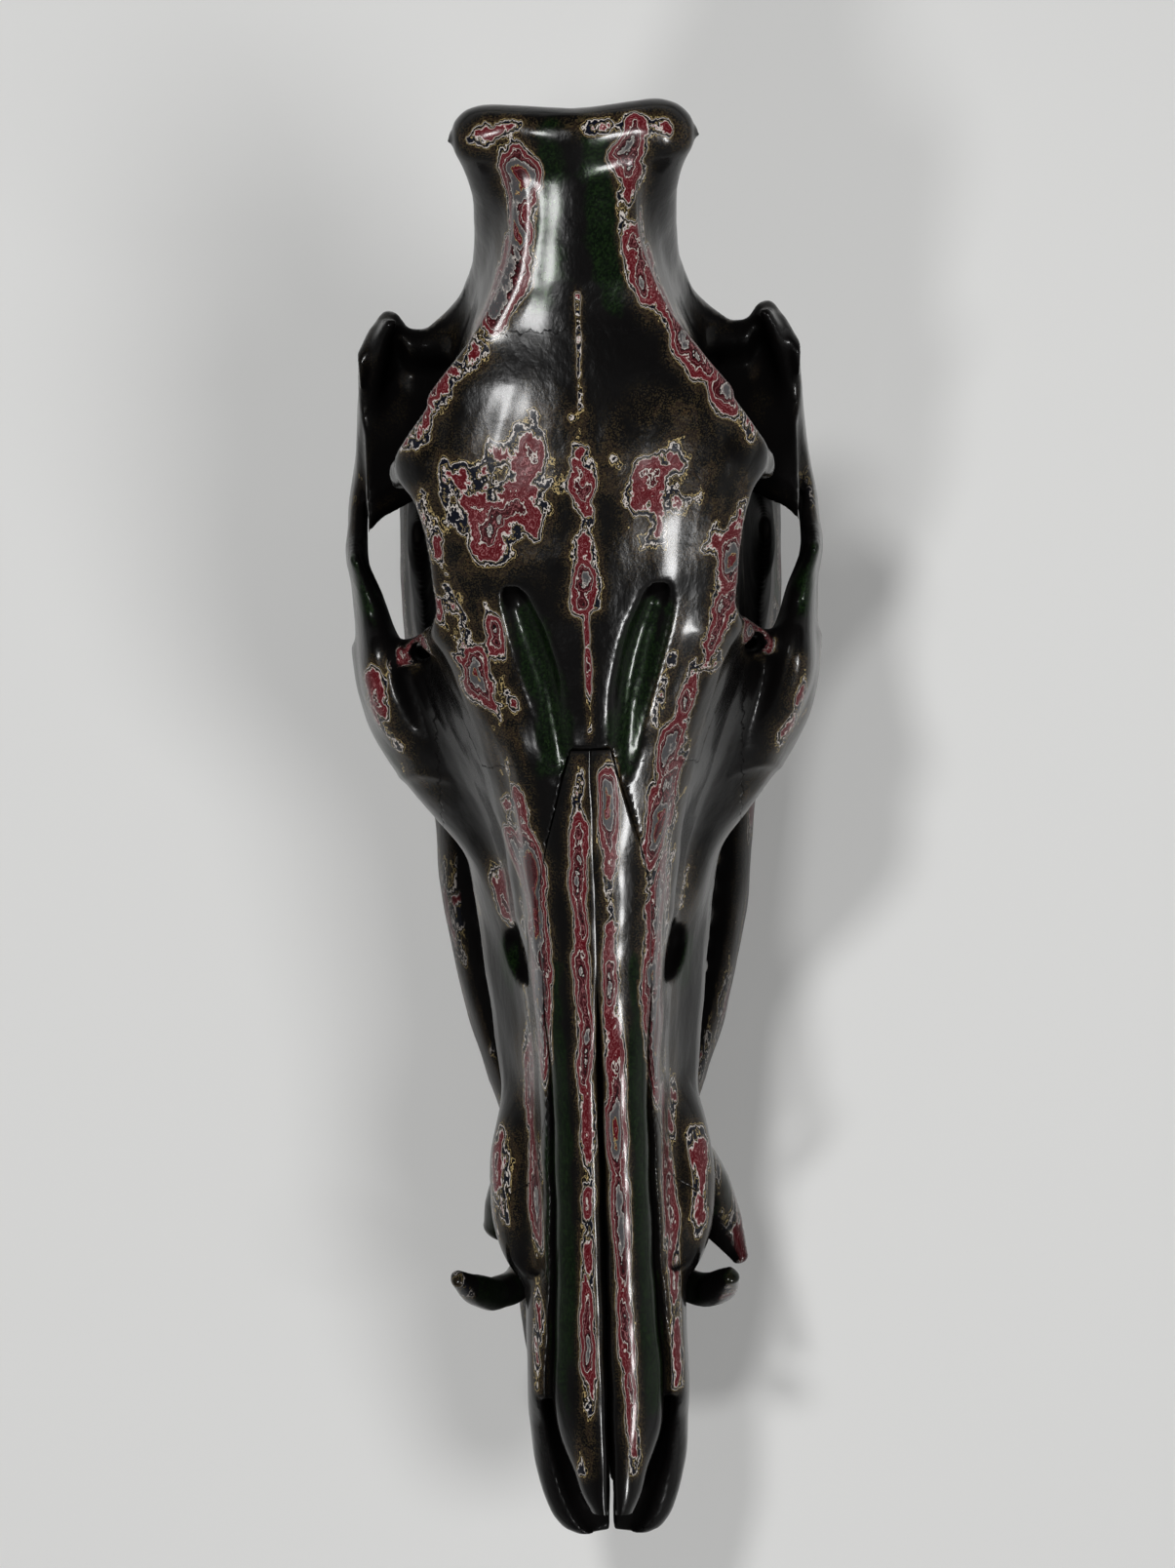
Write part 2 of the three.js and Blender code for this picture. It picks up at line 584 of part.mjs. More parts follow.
// The spaces that the other bones are parted by, each wider by the margin.
const premaxillaSuture = { lowY: -113, lowZ: 72, highY: -36, highZ: 128 };
const coronalY = 119;
const frontalDepth = 26;
const zygomaticInner = 36;
const zygomaticTop = 139.5;
const faceBackY = 60;

function premaxillaSpace(margin) {
  const { lowY, lowZ, highY, highZ } = premaxillaSuture;
  return sidePrism([[-far, -far], [lowY + margin, -far], [lowY + margin, lowZ], [highY + margin, highZ],
    [highY + margin, far], [-far, far]]);
}

function frontalSpace(margin) {
  const [front, back] = [nasionY - 3 - margin, coronalY + margin];
  const floorAt = (y) => dorsalHeight(y) - frontalDepth - margin;
  return sidePrism([[front, floorAt(nasionY) + 9], [100, floorAt(100)], [back, floorAt(118)], [back, far],
    [front, far]]);
}

function faceSpace(margin) {
  return block(point(-far, -far, -far), point(far, faceBackY + margin, far));
}

function zygomaticSpace(side, margin) {
  const inner = zygomaticInner - margin;
  const at = mirrorPoint(side);
  const between = (a, b) => block(a.clone().min(b), a.clone().max(b));
  return join(
    between(at(inner, 0, 0), at(far, 140, zygomaticTop + margin)),
    between(at(inner, 108 - margin, 120), at(far, 140, 165)),
  );
}

// The gap between the tips of the premaxillae, widest at the front.
function tipGap() {
  const rings = [[noseTipY - 1, 0.55], [notchY, 0.2]].map(([y, half]) =>
    [[-half, 0], [half, 0], [half, far], [-half, far]].map(([x, z]) => point(x, y, z)));
  return loft(rings);
}

// The largest closed body of a solid, which drops loose scraps.
const largest = (one) => one.decompose().reduce((a, b) => (a.volume() > b.volume() ? a : b));

function partCranium() {
  const halves = Object.values(sides);
  const bone = join(craniumCore(), browPlate(), premaxillaScoop(), nuchalCrest(),
    ...halves.flatMap((s) => [postorbitalProcess(s), cheek(s), zygomaticArch(s), jointShelf(s),
      lambdoidRidge(s), skullBase(s), canineRidge(s), toothRow(s, true), incisors(s, true)]));
  const hollows = join(nasalPassage(), ...halves.map(faceHollows),
    ellipsoid(point(0, condyleY + 3, 122), point(9, 15, 9)));
  const sockets = join(...Object.keys(sides).map((name) => upperTusk(name, tuskSocketGap)));
  let rest = join(bone.subtract(hollows), ...halves.map(lacrimalLedge)).subtract(sockets);

  const parts = {};
  const take = (name, space, widerSpace) => {
    parts[name] = largest(rest.intersect(space));
    rest = rest.subtract(widerSpace);
  };
  const inHalves = (name, space, widerSpace, gap) => {
    const whole = rest.intersect(space);
    for (const [word, s] of Object.entries(sides)) {
      parts[`${name}_${word}`] = largest(whole.intersect(sideSpace(s, gap)));
    }
    rest = rest.subtract(widerSpace);
  };

  inHalves('nasal', nasalSpace(0), nasalSpace(nasalSlit), nasalSlit / 2);
  for (const [word, s] of Object.entries(sides)) {
    take(`zygomatic_${word}`, zygomaticSpace(s, 0), zygomaticSpace(s, sutureGap));
  }
  take('frontal', frontalSpace(0), frontalSpace(sutureGap));
  rest = rest.subtract(tipGap());
  inHalves('premaxilla', premaxillaSpace(0), premaxillaSpace(sutureGap), sutureGap / 2);
  inHalves('maxilla', faceSpace(0), faceSpace(sutureGap), sutureGap / 2);
  parts.braincase = largest(rest);
  return parts;
}

// The object

const lacquer = (name, color) =>
  new THREE.MeshStandardMaterial({ name, color, roughness: 0.22, metalness: 0.1 });
const boneLacquer = lacquer('bone_lacquer', 0x16140f);
const tuskLacquer = lacquer('tusk_lacquer', 0x15120f);

function node(name, one, material) {
  const { vertProperties, triVerts } = one.getMesh();
  const geometry = new THREE.BufferGeometry();
  geometry.setAttribute('position', new THREE.BufferAttribute(new Float32Array(vertProperties), 3));
  geometry.setIndex(new THREE.BufferAttribute(new Uint32Array(triVerts), 1));
  geometry.computeVertexNormals();
  const made = new THREE.Mesh(geometry, material);
  made.name = name;
  return made;
}

const skull = new THREE.Group();
for (const [name, one] of Object.entries(partCranium())) skull.add(node(name, one, boneLacquer));
for (const name of Object.keys(sides)) skull.add(node(`tusk_upper_${name}`, upperTusk(name), tuskLacquer));

// The lower jaw lies swung a little to one side, as dry jaws do.
const lowerJaw = new THREE.Group();
lowerJaw.position.y = jawPivotY;
lowerJaw.rotation.z = jawSwing;
for (const [name, s] of Object.entries(sides)) {
  const bone = largest(jawHalf(s).subtract(lowerTusk(name, tuskSocketGap)));
  const mandible = node(`mandible_${name}`, bone, boneLacquer);
  const tusk = node(`tusk_lower_${name}`, lowerTusk(name), tuskLacquer);
  mandible.position.y = -jawPivotY;
  tusk.position.y = -jawPivotY;
  lowerJaw.add(mandible, tusk);
}
skull.add(lowerJaw);

export default skull;
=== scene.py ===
"""The looks of a painted hog skull: smooth bone, tusks and teeth under sanded-through lacquer.

Shapes are worked out in millimetres as distance fields on a grid, blended as bone grows together,
and turned into smooth meshes. The nose points along -Y, and the animal's own left side is +X.
"""

import math

import bpy
import numpy as np
from mathutils import Matrix, Vector


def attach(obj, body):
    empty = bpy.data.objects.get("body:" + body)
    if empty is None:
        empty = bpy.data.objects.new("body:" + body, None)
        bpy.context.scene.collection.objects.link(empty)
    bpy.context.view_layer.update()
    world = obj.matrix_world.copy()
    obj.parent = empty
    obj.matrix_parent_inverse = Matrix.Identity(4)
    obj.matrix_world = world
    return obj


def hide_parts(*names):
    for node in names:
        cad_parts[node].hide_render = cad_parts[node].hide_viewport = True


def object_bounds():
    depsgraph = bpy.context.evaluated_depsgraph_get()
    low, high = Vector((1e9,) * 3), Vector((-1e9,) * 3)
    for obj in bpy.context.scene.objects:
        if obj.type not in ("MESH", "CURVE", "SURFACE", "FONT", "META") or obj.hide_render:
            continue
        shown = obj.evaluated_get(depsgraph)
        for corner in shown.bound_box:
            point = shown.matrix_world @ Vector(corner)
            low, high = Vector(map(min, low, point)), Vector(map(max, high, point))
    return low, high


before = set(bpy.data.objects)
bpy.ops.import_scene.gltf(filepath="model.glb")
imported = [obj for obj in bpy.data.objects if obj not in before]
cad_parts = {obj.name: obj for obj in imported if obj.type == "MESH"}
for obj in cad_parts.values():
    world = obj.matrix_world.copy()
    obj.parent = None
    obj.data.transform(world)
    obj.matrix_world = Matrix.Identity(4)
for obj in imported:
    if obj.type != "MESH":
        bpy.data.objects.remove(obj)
cad_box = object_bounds()

MM = 0.001
TINY = 1e-6
SIDES = {"left": 1, "right": -1}

# Driving dimensions, as in the solids
SKULL_LENGTH = 332
ZYGOMATIC_WIDTH = 113.6
NUCHAL_WIDTH = 51
NUCHAL_HEIGHT = 203.1
JAW_SWING = math.radians(-0.9)
JAW_PIVOT_Y = -30
SEAM = 0.02
GRID_STEP = 0.85

# Places along the skull
NOSE_TIP_Y = -SKULL_LENGTH / 2
NUCHAL_Y = SKULL_LENGTH / 2
NAPE_Y = NUCHAL_Y - 7
NASAL_TIP_Y = -158
LOWER_TUSK_Y = -104
CANINE_Y = -76
FORAMEN_Y = -19
NASION_Y = 30
ORBIT_FRONT_Y = 56
ORBIT_Y = 74
POSTORBITAL_Y = 93
CONDYLE_Y = 131
JAW_JOINT_Y = 103


# Curves

def profile(*knots):
    """A smooth curve through (place, value) knots that never overshoots them."""
    places, values = (np.array(column, float) for column in zip(*knots))
    spans = np.diff(places)
    slopes = np.diff(values) / spans
    tangents = np.concatenate([slopes[:1], np.zeros(len(slopes) - 1), slopes[-1:]])
    before, after = slopes[:-1], slopes[1:]
    same_way = before * after > 0
    tangents[1:-1][same_way] = (2 * before * after / np.where(same_way, before + after, 1))[same_way]

    def curve(place):
        i = np.clip(np.searchsorted(places, place) - 1, 0, len(spans) - 1)
        t = np.clip((place - places[i]) / spans[i], 0, 1)
        t2, t3 = t * t, t * t * t
        return ((2 * t3 - 3 * t2 + 1) * values[i] + (t3 - 2 * t2 + t) * spans[i] * tangents[i]
                + (3 * t2 - 2 * t3) * values[i + 1] + (t3 - t2) * spans[i] * tangents[i + 1])

    return curve


def catmull(points, count, closed=False):
    """Points along a centripetal curve through the given points."""
    points = np.asarray(points, float)
    if closed:
        ring = np.vstack([points[-1:], points, points[:2]])
    else:
        ring = np.vstack([2 * points[0] - points[1], points, 2 * points[-1] - points[-2]])
    spans = len(ring) - 3
    where = np.linspace(0, spans, count, endpoint=not closed)
    index = np.minimum(where.astype(int), spans - 1)
    corners = [ring[index + k] for k in range(4)]
    knots = [0]
    for a, b in zip(corners, corners[1:]):
        gap = np.linalg.norm(b - a, axis=1, keepdims=True) ** 0.5
        knots.append(knots[-1] + np.maximum(gap, TINY))
    t = knots[1] + (where - index)[:, None] * (knots[2] - knots[1])

    def blend(a, b, start, end):
        return (end - t) / (end - start) * a + (t - start) / (end - start) * b

    first = [blend(*corners[i:i + 2], *knots[i:i + 2]) for i in range(3)]
    second = [blend(*first[i:i + 2], knots[i], knots[i + 2]) for i in range(2)]
    return blend(*second, *knots[1:3])


def smoothstep(value, low, high):
    t = np.clip((value - low) / (high - low), 0, 1)
    return t * t * (3 - 2 * t)


def turns(count, shift=0):
    """Even angles round a circle."""
    return 2 * np.pi * (np.arange(count) + shift) / count


def flattened(value, power):
    return np.sign(value) * np.abs(value) ** power


# Distance fields

class Field:
    """Distances to a shape on a grid over the half with x above 0, mirrored when it is meshed."""

    MARGIN = 9
    OUTSIDE = 40.0
    PAST_MIDDLE = 2
    SMOOTHING_PASSES = 4

    def __init__(self, low, high, step):
        self.step = step
        self.low = np.array([-self.PAST_MIDDLE * step, low[1], low[2]])
        counts = [int(math.ceil((h - l) / step)) + 1 for l, h in zip(self.low, high)]
        self.axes = [self.low[i] + step * np.arange(counts[i]) for i in range(3)]
        self.values = np.full(counts, self.OUTSIDE, np.float32)

    def window(self, low, high):
        slices = []
        for axis, lowest, highest in zip(self.axes, low, high):
            start = np.searchsorted(axis, lowest - self.MARGIN)
            end = np.searchsorted(axis, highest + self.MARGIN)
            slices.append(slice(start, end))
        x, y, z = (axis[s].astype(np.float32) for axis, s in zip(self.axes, slices))
        return tuple(slices), x, y, z

    def add(self, shape, soft):
        """Joins a shape, with a fillet about as wide as soft."""
        slices, x, y, z = self.window(shape.low, shape.high)
        self.values[slices] = soft_min(self.values[slices], shape.distance(x, y, z), soft)

    def cut(self, shape, soft):
        """Takes a shape away, with edges rounded by about soft."""
        slices, x, y, z = self.window(shape.low, shape.high)
        self.values[slices] = -soft_min(-self.values[slices], shape.distance(x, y, z), soft)

    def at(self, points):
        """The distance at each of the points, between the grid's own."""
        asked = (points * (np.sign(points[:, :1]) * (1, 0, 0) + (0, 1, 1)) - self.low) / self.step
        where = np.clip(asked, 0, np.array(self.values.shape) - 1.001)
        cell = where.astype(int)
        share = where - cell
        total = np.linalg.norm(asked - where, axis=1) * self.step
        for corner in np.ndindex(2, 2, 2):
            weight = np.prod(np.where(corner, share, 1 - share), axis=1)
            total += weight * self.values[tuple((cell + corner).T)]
        return total

    def mesh(self):
        half = self.values[self.PAST_MIDDLE:]
        whole = np.concatenate([half[:0:-1], half])
        low = np.array([-(len(half) - 1) * self.step, self.low[1], self.low[2]])
        points, quads = surface(whole, low, self.step)
        return settle(points, quads, self.SMOOTHING_PASSES), quads


def soft_min(a, b, soft):
    if soft <= 0:
        return np.minimum(a, b)
    overlap = np.maximum(soft - np.abs(a - b), 0) / soft
    return np.minimum(a, b) - overlap * overlap * soft * 0.25


class Loft:
    """A shape given by its outline in each slice across one axis."""

    BOX_SLICES = 24

    def __init__(self, ring, first, last, axis=1):
        self.ring, self.first, self.last, self.axis = ring, first, last, axis
        samples = np.vstack([ring(p) for p in np.linspace(first, last, self.BOX_SLICES)])
        low, high = samples.min(0), samples.max(0)
        self.low = np.insert(low, axis, first)
        self.high = np.insert(high, axis, last)

    def distance(self, x, y, z):
        axes = [x, y, z]
        along = axes.pop(self.axis)
        across = np.empty((len(along), len(axes[0]), len(axes[1])), np.float32)
        for i, place in enumerate(along):
            across[i] = outline_distance(self.ring(min(max(place, self.first), self.last)), *axes)
        beyond = np.maximum(self.first - along, along - self.last)[:, None, None]
        return np.moveaxis(np.maximum(across, beyond), 0, self.axis)


def outline_distance(points, u, v):
    """Signed distance from each grid point to a closed outline, negative inside."""
    a = points.astype(np.float32)
    edge = np.roll(a, -1, 0) - a
    pu, pv = u[:, None, None] - a[:, 0], v[None, :, None] - a[:, 1]
    t = np.clip((pu * edge[:, 0] + pv * edge[:, 1]) / np.maximum((edge ** 2).sum(1), 1e-9), 0, 1)
    nearest = ((pu - t * edge[:, 0]) ** 2 + (pv - t * edge[:, 1]) ** 2).min(2)
    upward = pv >= 0
    crosses = upward != (pv >= edge[:, 1])
    left_of = pu * edge[:, 1] - pv * edge[:, 0] < 0
    inside = np.where(edge[:, 1] > 0, crosses & left_of, crosses & ~left_of).sum(2) % 2 == 1
    return np.where(inside, -1, 1) * np.sqrt(nearest)


class Bar:
    """A round bar along a smooth path, with a radius at each of the path's points."""

    def __init__(self, points, radii, pieces=10):
        self.path = catmull(points, pieces + 1)
        even = np.linspace(0, 1, len(radii))
        self.radii = profile(*zip(even, radii))(np.linspace(0, 1, pieces + 1))
        reach = self.radii.max()
        self.low, self.high = self.path.min(0) - reach, self.path.max(0) + reach

    def distance(self, x, y, z):
        best = None
        for a, b, ra, rb in zip(self.path, self.path[1:], self.radii, self.radii[1:]):
            edge = b - a
            place = np.ix_(x - a[0], y - a[1], z - a[2])
            t = np.clip(sum(p * e for p, e in zip(place, edge)) / (edge @ edge), 0, 1)
            away = np.sqrt(sum((p - t * e) ** 2 for p, e in zip(place, edge)))
            away -= ra + (rb - ra) * t
            best = away if best is None else np.minimum(best, away)
        return best.astype(np.float32)


class Ellipsoid:
    """An egg with three radii, turned about the upright axis."""

    def __init__(self, centre, radii, turn=0):
        self.centre, self.radii, self.turn = np.array(centre, float), np.array(radii, float), turn
        reach = self.radii.max()
        self.low, self.high = self.centre - reach, self.centre + reach

    def distance(self, x, y, z):
        px, py, pz = np.meshgrid(x - self.centre[0], y - self.centre[1], z - self.centre[2], indexing="ij")
        c, s = math.cos(self.turn), math.sin(self.turn)
        place = (c * px + s * py, c * py - s * px, pz)
        near = np.sqrt(sum((p / r) ** 2 for p, r in zip(place, self.radii)))
        slope = np.sqrt(sum((p / r ** 2) ** 2 for p, r in zip(place, self.radii)))
        return (near * (near - 1) / np.maximum(slope, TINY)).astype(np.float32)


def plate_ring(inner, outer, lower, upper, lean=0, squareness=3, count=40):
    """A rounded plate's section: squareness 2 is an ellipse, and the lean moves its upper edge inwards."""
    turn = turns(count, 0.5)
    u, v = (flattened(wave, 2 / squareness) for wave in (np.cos(turn), np.sin(turn)))
    return np.stack([(inner + outer) / 2 + (outer - inner) / 2 * u - lean * v,
                     (lower + upper) / 2 + (upper - lower) / 2 * v], 1)


# Meshing

def surface(values, low, step):
    """Quads between the grid cells where the field changes sign, with each point near the surface."""

    def shifted(grid, offset):
        return grid[tuple(slice(o, o + size) for o, size in zip(offset, shape))]

    inside = values < 0
    shape = np.array(values.shape) - 1
    corner_offsets = list(np.ndindex(2, 2, 2))
    total = sum(shifted(inside, o).astype(np.int8) for o in corner_offsets)
    cells = np.argwhere((total > 0) & (total < 8))
    number = np.full(tuple(shape), -1, np.int32)
    number[tuple(cells.T)] = np.arange(len(cells))
    corners = [values[tuple((cells + o).T)] for o in corner_offsets]
    where = np.zeros((len(cells), 3))
    count = np.zeros(len(cells))
    for i, a in enumerate(corner_offsets):
        for j, b in enumerate(corner_offsets):
            if j <= i or sum(p != q for p, q in zip(a, b)) != 1:
                continue
            crosses = (corners[i] < 0) != (corners[j] < 0)
            t = np.where(crosses, corners[i] / np.where(crosses, corners[i] - corners[j], 1), 0)[:, None]
            where += np.where(crosses[:, None], np.array(a) + t * (np.array(b) - np.array(a)), 0)
            count += crosses
    points = low + step * (cells + where / count[:, None])
    quads = []
    for axis in range(3):
        u, v = (axis + 1) % 3, (axis + 2) % 3
        first = np.take(inside, range(inside.shape[axis] - 1), axis)
        second = np.take(inside, range(1, inside.shape[axis]), axis)
        edges = np.argwhere(first != second)
        edges = edges[(edges[:, u] > 0) & (edges[:, v] > 0)
                      & (edges[:, u] < shape[u]) & (edges[:, v] < shape[v])]
        step_u, step_v = np.eye(3, dtype=int)[u], np.eye(3, dtype=int)[v]
        ring = np.stack([number[tuple((edges - du * step_u - dv * step_v).T)]
                         for du, dv in ((0, 0), (1, 0), (1, 1), (0, 1))], 1)
        leaving = first[tuple(edges.T)]
        quads.append(np.where(leaving[:, None], ring, ring[:, ::-1]))
    return points, np.vstack(quads)


SETTLE_SHARES = (0.55, -0.57)


def settle(points, quads, passes):
    """Evens out the grid's steps without shrinking the shape."""
    edges = np.vstack([quads[:, [i, (i + 1) % 4]] for i in range(4)])
    degree = np.bincount(edges.ravel(), minlength=len(points))[:, None]
    for _ in range(passes):
        for share in SETTLE_SHARES:
            total = np.zeros_like(points)
            for axis in range(3):
                total[:, axis] = (np.bincount(edges[:, 0], points[edges[:, 1], axis], len(points))
                                  + np.bincount(edges[:, 1], points[edges[:, 0], axis], len(points)))
            points = points + share * (total / degree - points)
    return points


def new_object(name, data):
    made = bpy.data.objects.new(name, data)
    bpy.context.scene.collection.objects.link(made)
    return made


def make_mesh(name, points, faces):
    mesh = bpy.data.meshes.new(name)
    faces = faces.tolist() if isinstance(faces, np.ndarray) else faces
    mesh.from_pydata((np.asarray(points) * MM).tolist(), [], faces)
    mesh.validate()
    mesh.polygons.foreach_set("use_smooth", np.ones(len(mesh.polygons), bool))
    mesh.update()
    return new_object(name, mesh)


def loft_mesh(rings):
    """Points and faces of a closed skin over rings of equal length."""
    rings = np.asarray(rings)
    count = rings.shape[1]
    points = np.vstack([rings.reshape(-1, 3), rings[0].mean(0), rings[-1].mean(0)])
    grid = np.arange(len(rings) * count).reshape(len(rings), count)
    after = np.roll(grid, -1, 1)
    faces = np.stack([grid[:-1], after[:-1], after[1:], grid[1:]], 2).reshape(-1, 4).tolist()
    faces += [[len(points) - 2, b, a] for a, b in zip(grid[0], after[0])]
    faces += [[len(points) - 1, a, b] for a, b in zip(grid[-1], after[-1])]
    triangles = np.array([(f[0], f[i], f[i + 1]) for f in faces for i in range(1, len(f) - 1)])
    a, b, c = (points[triangles[:, k]] for k in range(3))
    if np.einsum("ij,ij->i", a, np.cross(b, c)).sum() < 0:
        faces = [f[::-1] for f in faces]
    return points, faces


RELIEF = 0.05
RELIEF_WAVES = [(0.31, 0.17, 0.12), (-0.22, 0.29, 0.19), (0.13, -0.41, 0.25), (0.47, 0.08, -0.33),
                (0.05, 0.22, 0.44)]
BOX_MARGIN = 0.05


def point_vectors(mesh, word):
    """The places or normals of a mesh's points, one row for each."""
    values = np.empty(len(mesh.vertices) * 3)
    mesh.vertices.foreach_get(word, values)
    return values.reshape(-1, 3)


def uneven(mesh):
    """Gives a piece the bone's slight swells, the same where two pieces meet, kept within the solids' box."""
    points = point_vectors(mesh, "co") / MM
    moved = points.copy()
    for i, wave in enumerate(RELIEF_WAVES):
        turn = points @ np.array(wave)
        moved += RELIEF * np.stack([np.sin(turn + (k + 1) * i + k) for k in range(3)], 1)
    low, high = np.array(cad_box) / MM
    moved = np.clip(moved, low + BOX_MARGIN, high - BOX_MARGIN)
    mesh.vertices.foreach_set("co", (moved * MM).ravel())
    mesh.update()


# The cranium

dorsal_height = profile(
    (-158, 92.5), (-130, 99), (-75, 114), (FORAMEN_Y, 131), (NASION_Y, 150), (55, 160), (75, 169.5),
    (95, 178), (107, 182), (118, 185.6), (130, 189.8), (150, 197.3), (NAPE_Y, NUCHAL_HEIGHT - 2.3))
dorsal_edge = profile(
    (-158, 4), (-152, 7), (-146, 8.7), (-140, 10.9), (-133, 13.2), (-126, 14.4), (-94, 13.6), (-46, 12.4),
    (-6, 14), (NASION_Y, 18.9), (57, 27), (80, 29), (96, 30), (108, 27), (118, 20.5), (126, 15.5),
    (140, 11), (150, 10.6), (166, 13))
dorsal_drop = profile((-158, 1.5), (-126, 5), (-46, 4.5), (NASION_Y, 5), (75, 4), (110, 3), (166, 1.5))
wall_half = profile(
    (-158, 3.8), (-152, 6.6), (-146, 8.3), (-140, 10.4), (-130, 13.2), (-122, 17), (-110, 17.5), (-75, 18),
    (-50, 17), (FORAMEN_Y, 18.5), (10, 21), (NASION_Y, 22), (45, 21), (56, 18.5), (75, 17), (92, 21),
    (105, 27), (118, 27.6), (130, 24.2), (142, 20.6), (152, 19.6), (160, 17.5), (166, 14))
base_half = profile(
    (-158, 3.6), (-146, 8), (-140, 10), (-130, 13), (-120, 18), (-97, 19.5), (-75, 22), (-50, 24.5),
    (FORAMEN_Y, 27.8), (4, 30), (NASION_Y, 30), (45, 28), (56, 22), (75, 18), (92, 20), (110, 25),
    (128, 24), (140, 19.4), (152, 16.4), (166, 12))
ventral_height = profile(
    (-158, 88.5), (-130, 91.5), (-124, 84), (-116, 74), (-97, 74), (-50, 77), (45, 78), (52, 84), (62, 96),
    (90, 104), (126, 106), (132, 114), (140, 138), (150, 170), (158, 190), (166, 198))
palate_arch = profile((-125, 0), (-100, 3), (-50, 5), (45, 6), (60, 0), (166, 0))
core_sink = profile((18, 0), (28, 0), (46, 2.6), (108, 2.6), (130, 0), (140, 0))


def mirrored_outline(top, half, bottom, count):
    outline = [(0, top)] + half + [(0, bottom)] + [(-x, z) for x, z in reversed(half)]
    return catmull(outline, count, closed=True)


def cranium_ring(y):
    top, bottom = dorsal_height(y) - core_sink(y), ventral_height(y)
    edge, drop, height = dorsal_edge(y), dorsal_drop(y), top - bottom
    half = [(edge * 0.6, top - drop * 0.3), (edge, top - drop), (wall_half(y), bottom + height * 0.5),
            (base_half(y), bottom + height * 0.14), (base_half(y) * 0.72, bottom)]
    return mirrored_outline(top, half, bottom + palate_arch(y), 52)


brow_half = profile(
    (28, 16), (45, 25.5), (56, 32.3), (64, 34), (74, 34.8), (80, 35.7), (86, 37.5), (91, 39.6), (95, 40.5),
    (98, 39), (106, 33), (115, 25), (124, 16.5), (130, 12))
brow_drop = profile((28, 5), (56, 8), (75, 7), (95, 10), (110, 5), (130, 3))
brow_sink = profile((28, 3.5), (46, 0), (108, 0), (130, 3.5))
BROW_THICKNESS = 6
BROW_DEPTH = 17


def brow_ring(y):
    top, rim, drop = dorsal_height(y) - brow_sink(y), brow_half(y), brow_drop(y)
    half = [(rim * 0.6, top - drop * 0.3), (rim - 1.5, top - drop), (rim, top - drop - BROW_THICKNESS * 0.5),
            (rim - 2.5, top - drop - BROW_THICKNESS), (rim * 0.5, top - drop - BROW_THICKNESS * 1.6)]
    return mirrored_outline(top, half, top - BROW_DEPTH, 48)


BROWED_FROM_Y, BROWED_TO_Y = 40, 120
ROOF_CURVE = 2.36
ROOF_REACH = 1.2


def roof(x, y):
    """How high the skull's roof is, at a place in plan."""
    half, drop = (brow_half, brow_drop) if BROWED_FROM_Y < y < BROWED_TO_Y else (dorsal_edge, dorsal_drop)
    return dorsal_height(y) - drop(y) * np.minimum(np.abs(x) / half(y), ROOF_REACH) ** ROOF_CURVE


def on_roof(x, y, lift):
    return x, y, roof(x, y) + lift


CHEEK_FRONT_Y = -26
cheek_outer = profile(
    (CHEEK_FRONT_Y, 16), (-14, 21), (-4, 26.5), (4, 30), (9, 33), (15, 38), (23, 44.3), (30, 48.6),
    (39, 52.8), (48, 54.8), (57, 55.6))
cheek_height = profile((CHEEK_FRONT_Y, 90), (-4, 93), (15, 97), (30, 102), (57, 108))
cheek_lower = profile((CHEEK_FRONT_Y, 84), (-4, 86), (15, 89), (30, 90), (57, 88))
cheek_top = profile((CHEEK_FRONT_Y, 108), (-4, 118), (15, 130), (30, 140), (57, 153))
CHEEK_HOLLOW = 3


def cheek_ring(y):
    outer, wide, low, top = cheek_outer(y), cheek_height(y), cheek_lower(y), cheek_top(y)
    crest = min(dorsal_edge(y) + 3, outer - 7)
    outline = [(crest - 8, top - 1), (crest, top), ((crest + outer) / 2 - CHEEK_HOLLOW, (top + wide) / 2),
               (outer - 2, wide + 8), (outer, wide), (outer - 3, low), (outer - 14, low + 1), (13, low + 6)]
    return catmull(outline, 40, closed=True)


ARCH_HALF = ZYGOMATIC_WIDTH / 2
arch_outer = profile(
    (24, 45), (30, 48.6), (39, 52.8), (48, 55), (58, ARCH_HALF - 0.8), (68, ARCH_HALF - 0.4),
    (80, ARCH_HALF), (88, ARCH_HALF - 0.3), (97, ARCH_HALF - 1.9), (108, ARCH_HALF - 4.1),
    (118, ARCH_HALF - 6), (124, 48), (129, 44))
arch_thickness = profile(
    (24, 11), (40, 12), (56, 10.8), (62, 9), (68, 7.4), (72, 6), (76, 5), (80, 4.6), (118, 5.2), (129, 3))
arch_upper = profile(
    (24, 112), (45, 127), (56, 131), (62, 129), (68, 132), (75, 138.5), (78.5, 133), (83, 126), (90, 122.5),
    (100, 127), (110, 134), (118, 141), (124, 147), (129, 151))
arch_lower = profile(
    (24, 92), (30, 90), (48, 88), (66, 89), (80, 93), (92, 99), (104, 108), (114, 117), (122, 128),
    (129, 145))
arch_lean = profile((24, 2), (46, 1), (58, 1.6), (70, 1.6), (80, 0.8), (129, 1))


def arch_ring(y):
    lean = arch_lean(y)
    outer = arch_outer(y) - abs(lean) / 2
    return plate_ring(outer - arch_thickness(y), outer, arch_lower(y), arch_upper(y), lean)


shelf_front = profile((18, 97), (30, 94), (38, 90), (43, 87.5), (47, 85.5), (50, 82.5))
shelf_back = profile(
    (18, 133), (25, 132.5), (31, 128.5), (35, 126.6), (38.5, 126.9), (41.5, 130.4), (43.5, 131),
    (46.5, 128), (50, 121.5))
shelf_low = profile((18, 121.5), (50, 124.5))
shelf_high = profile((18, 136), (50, 140))


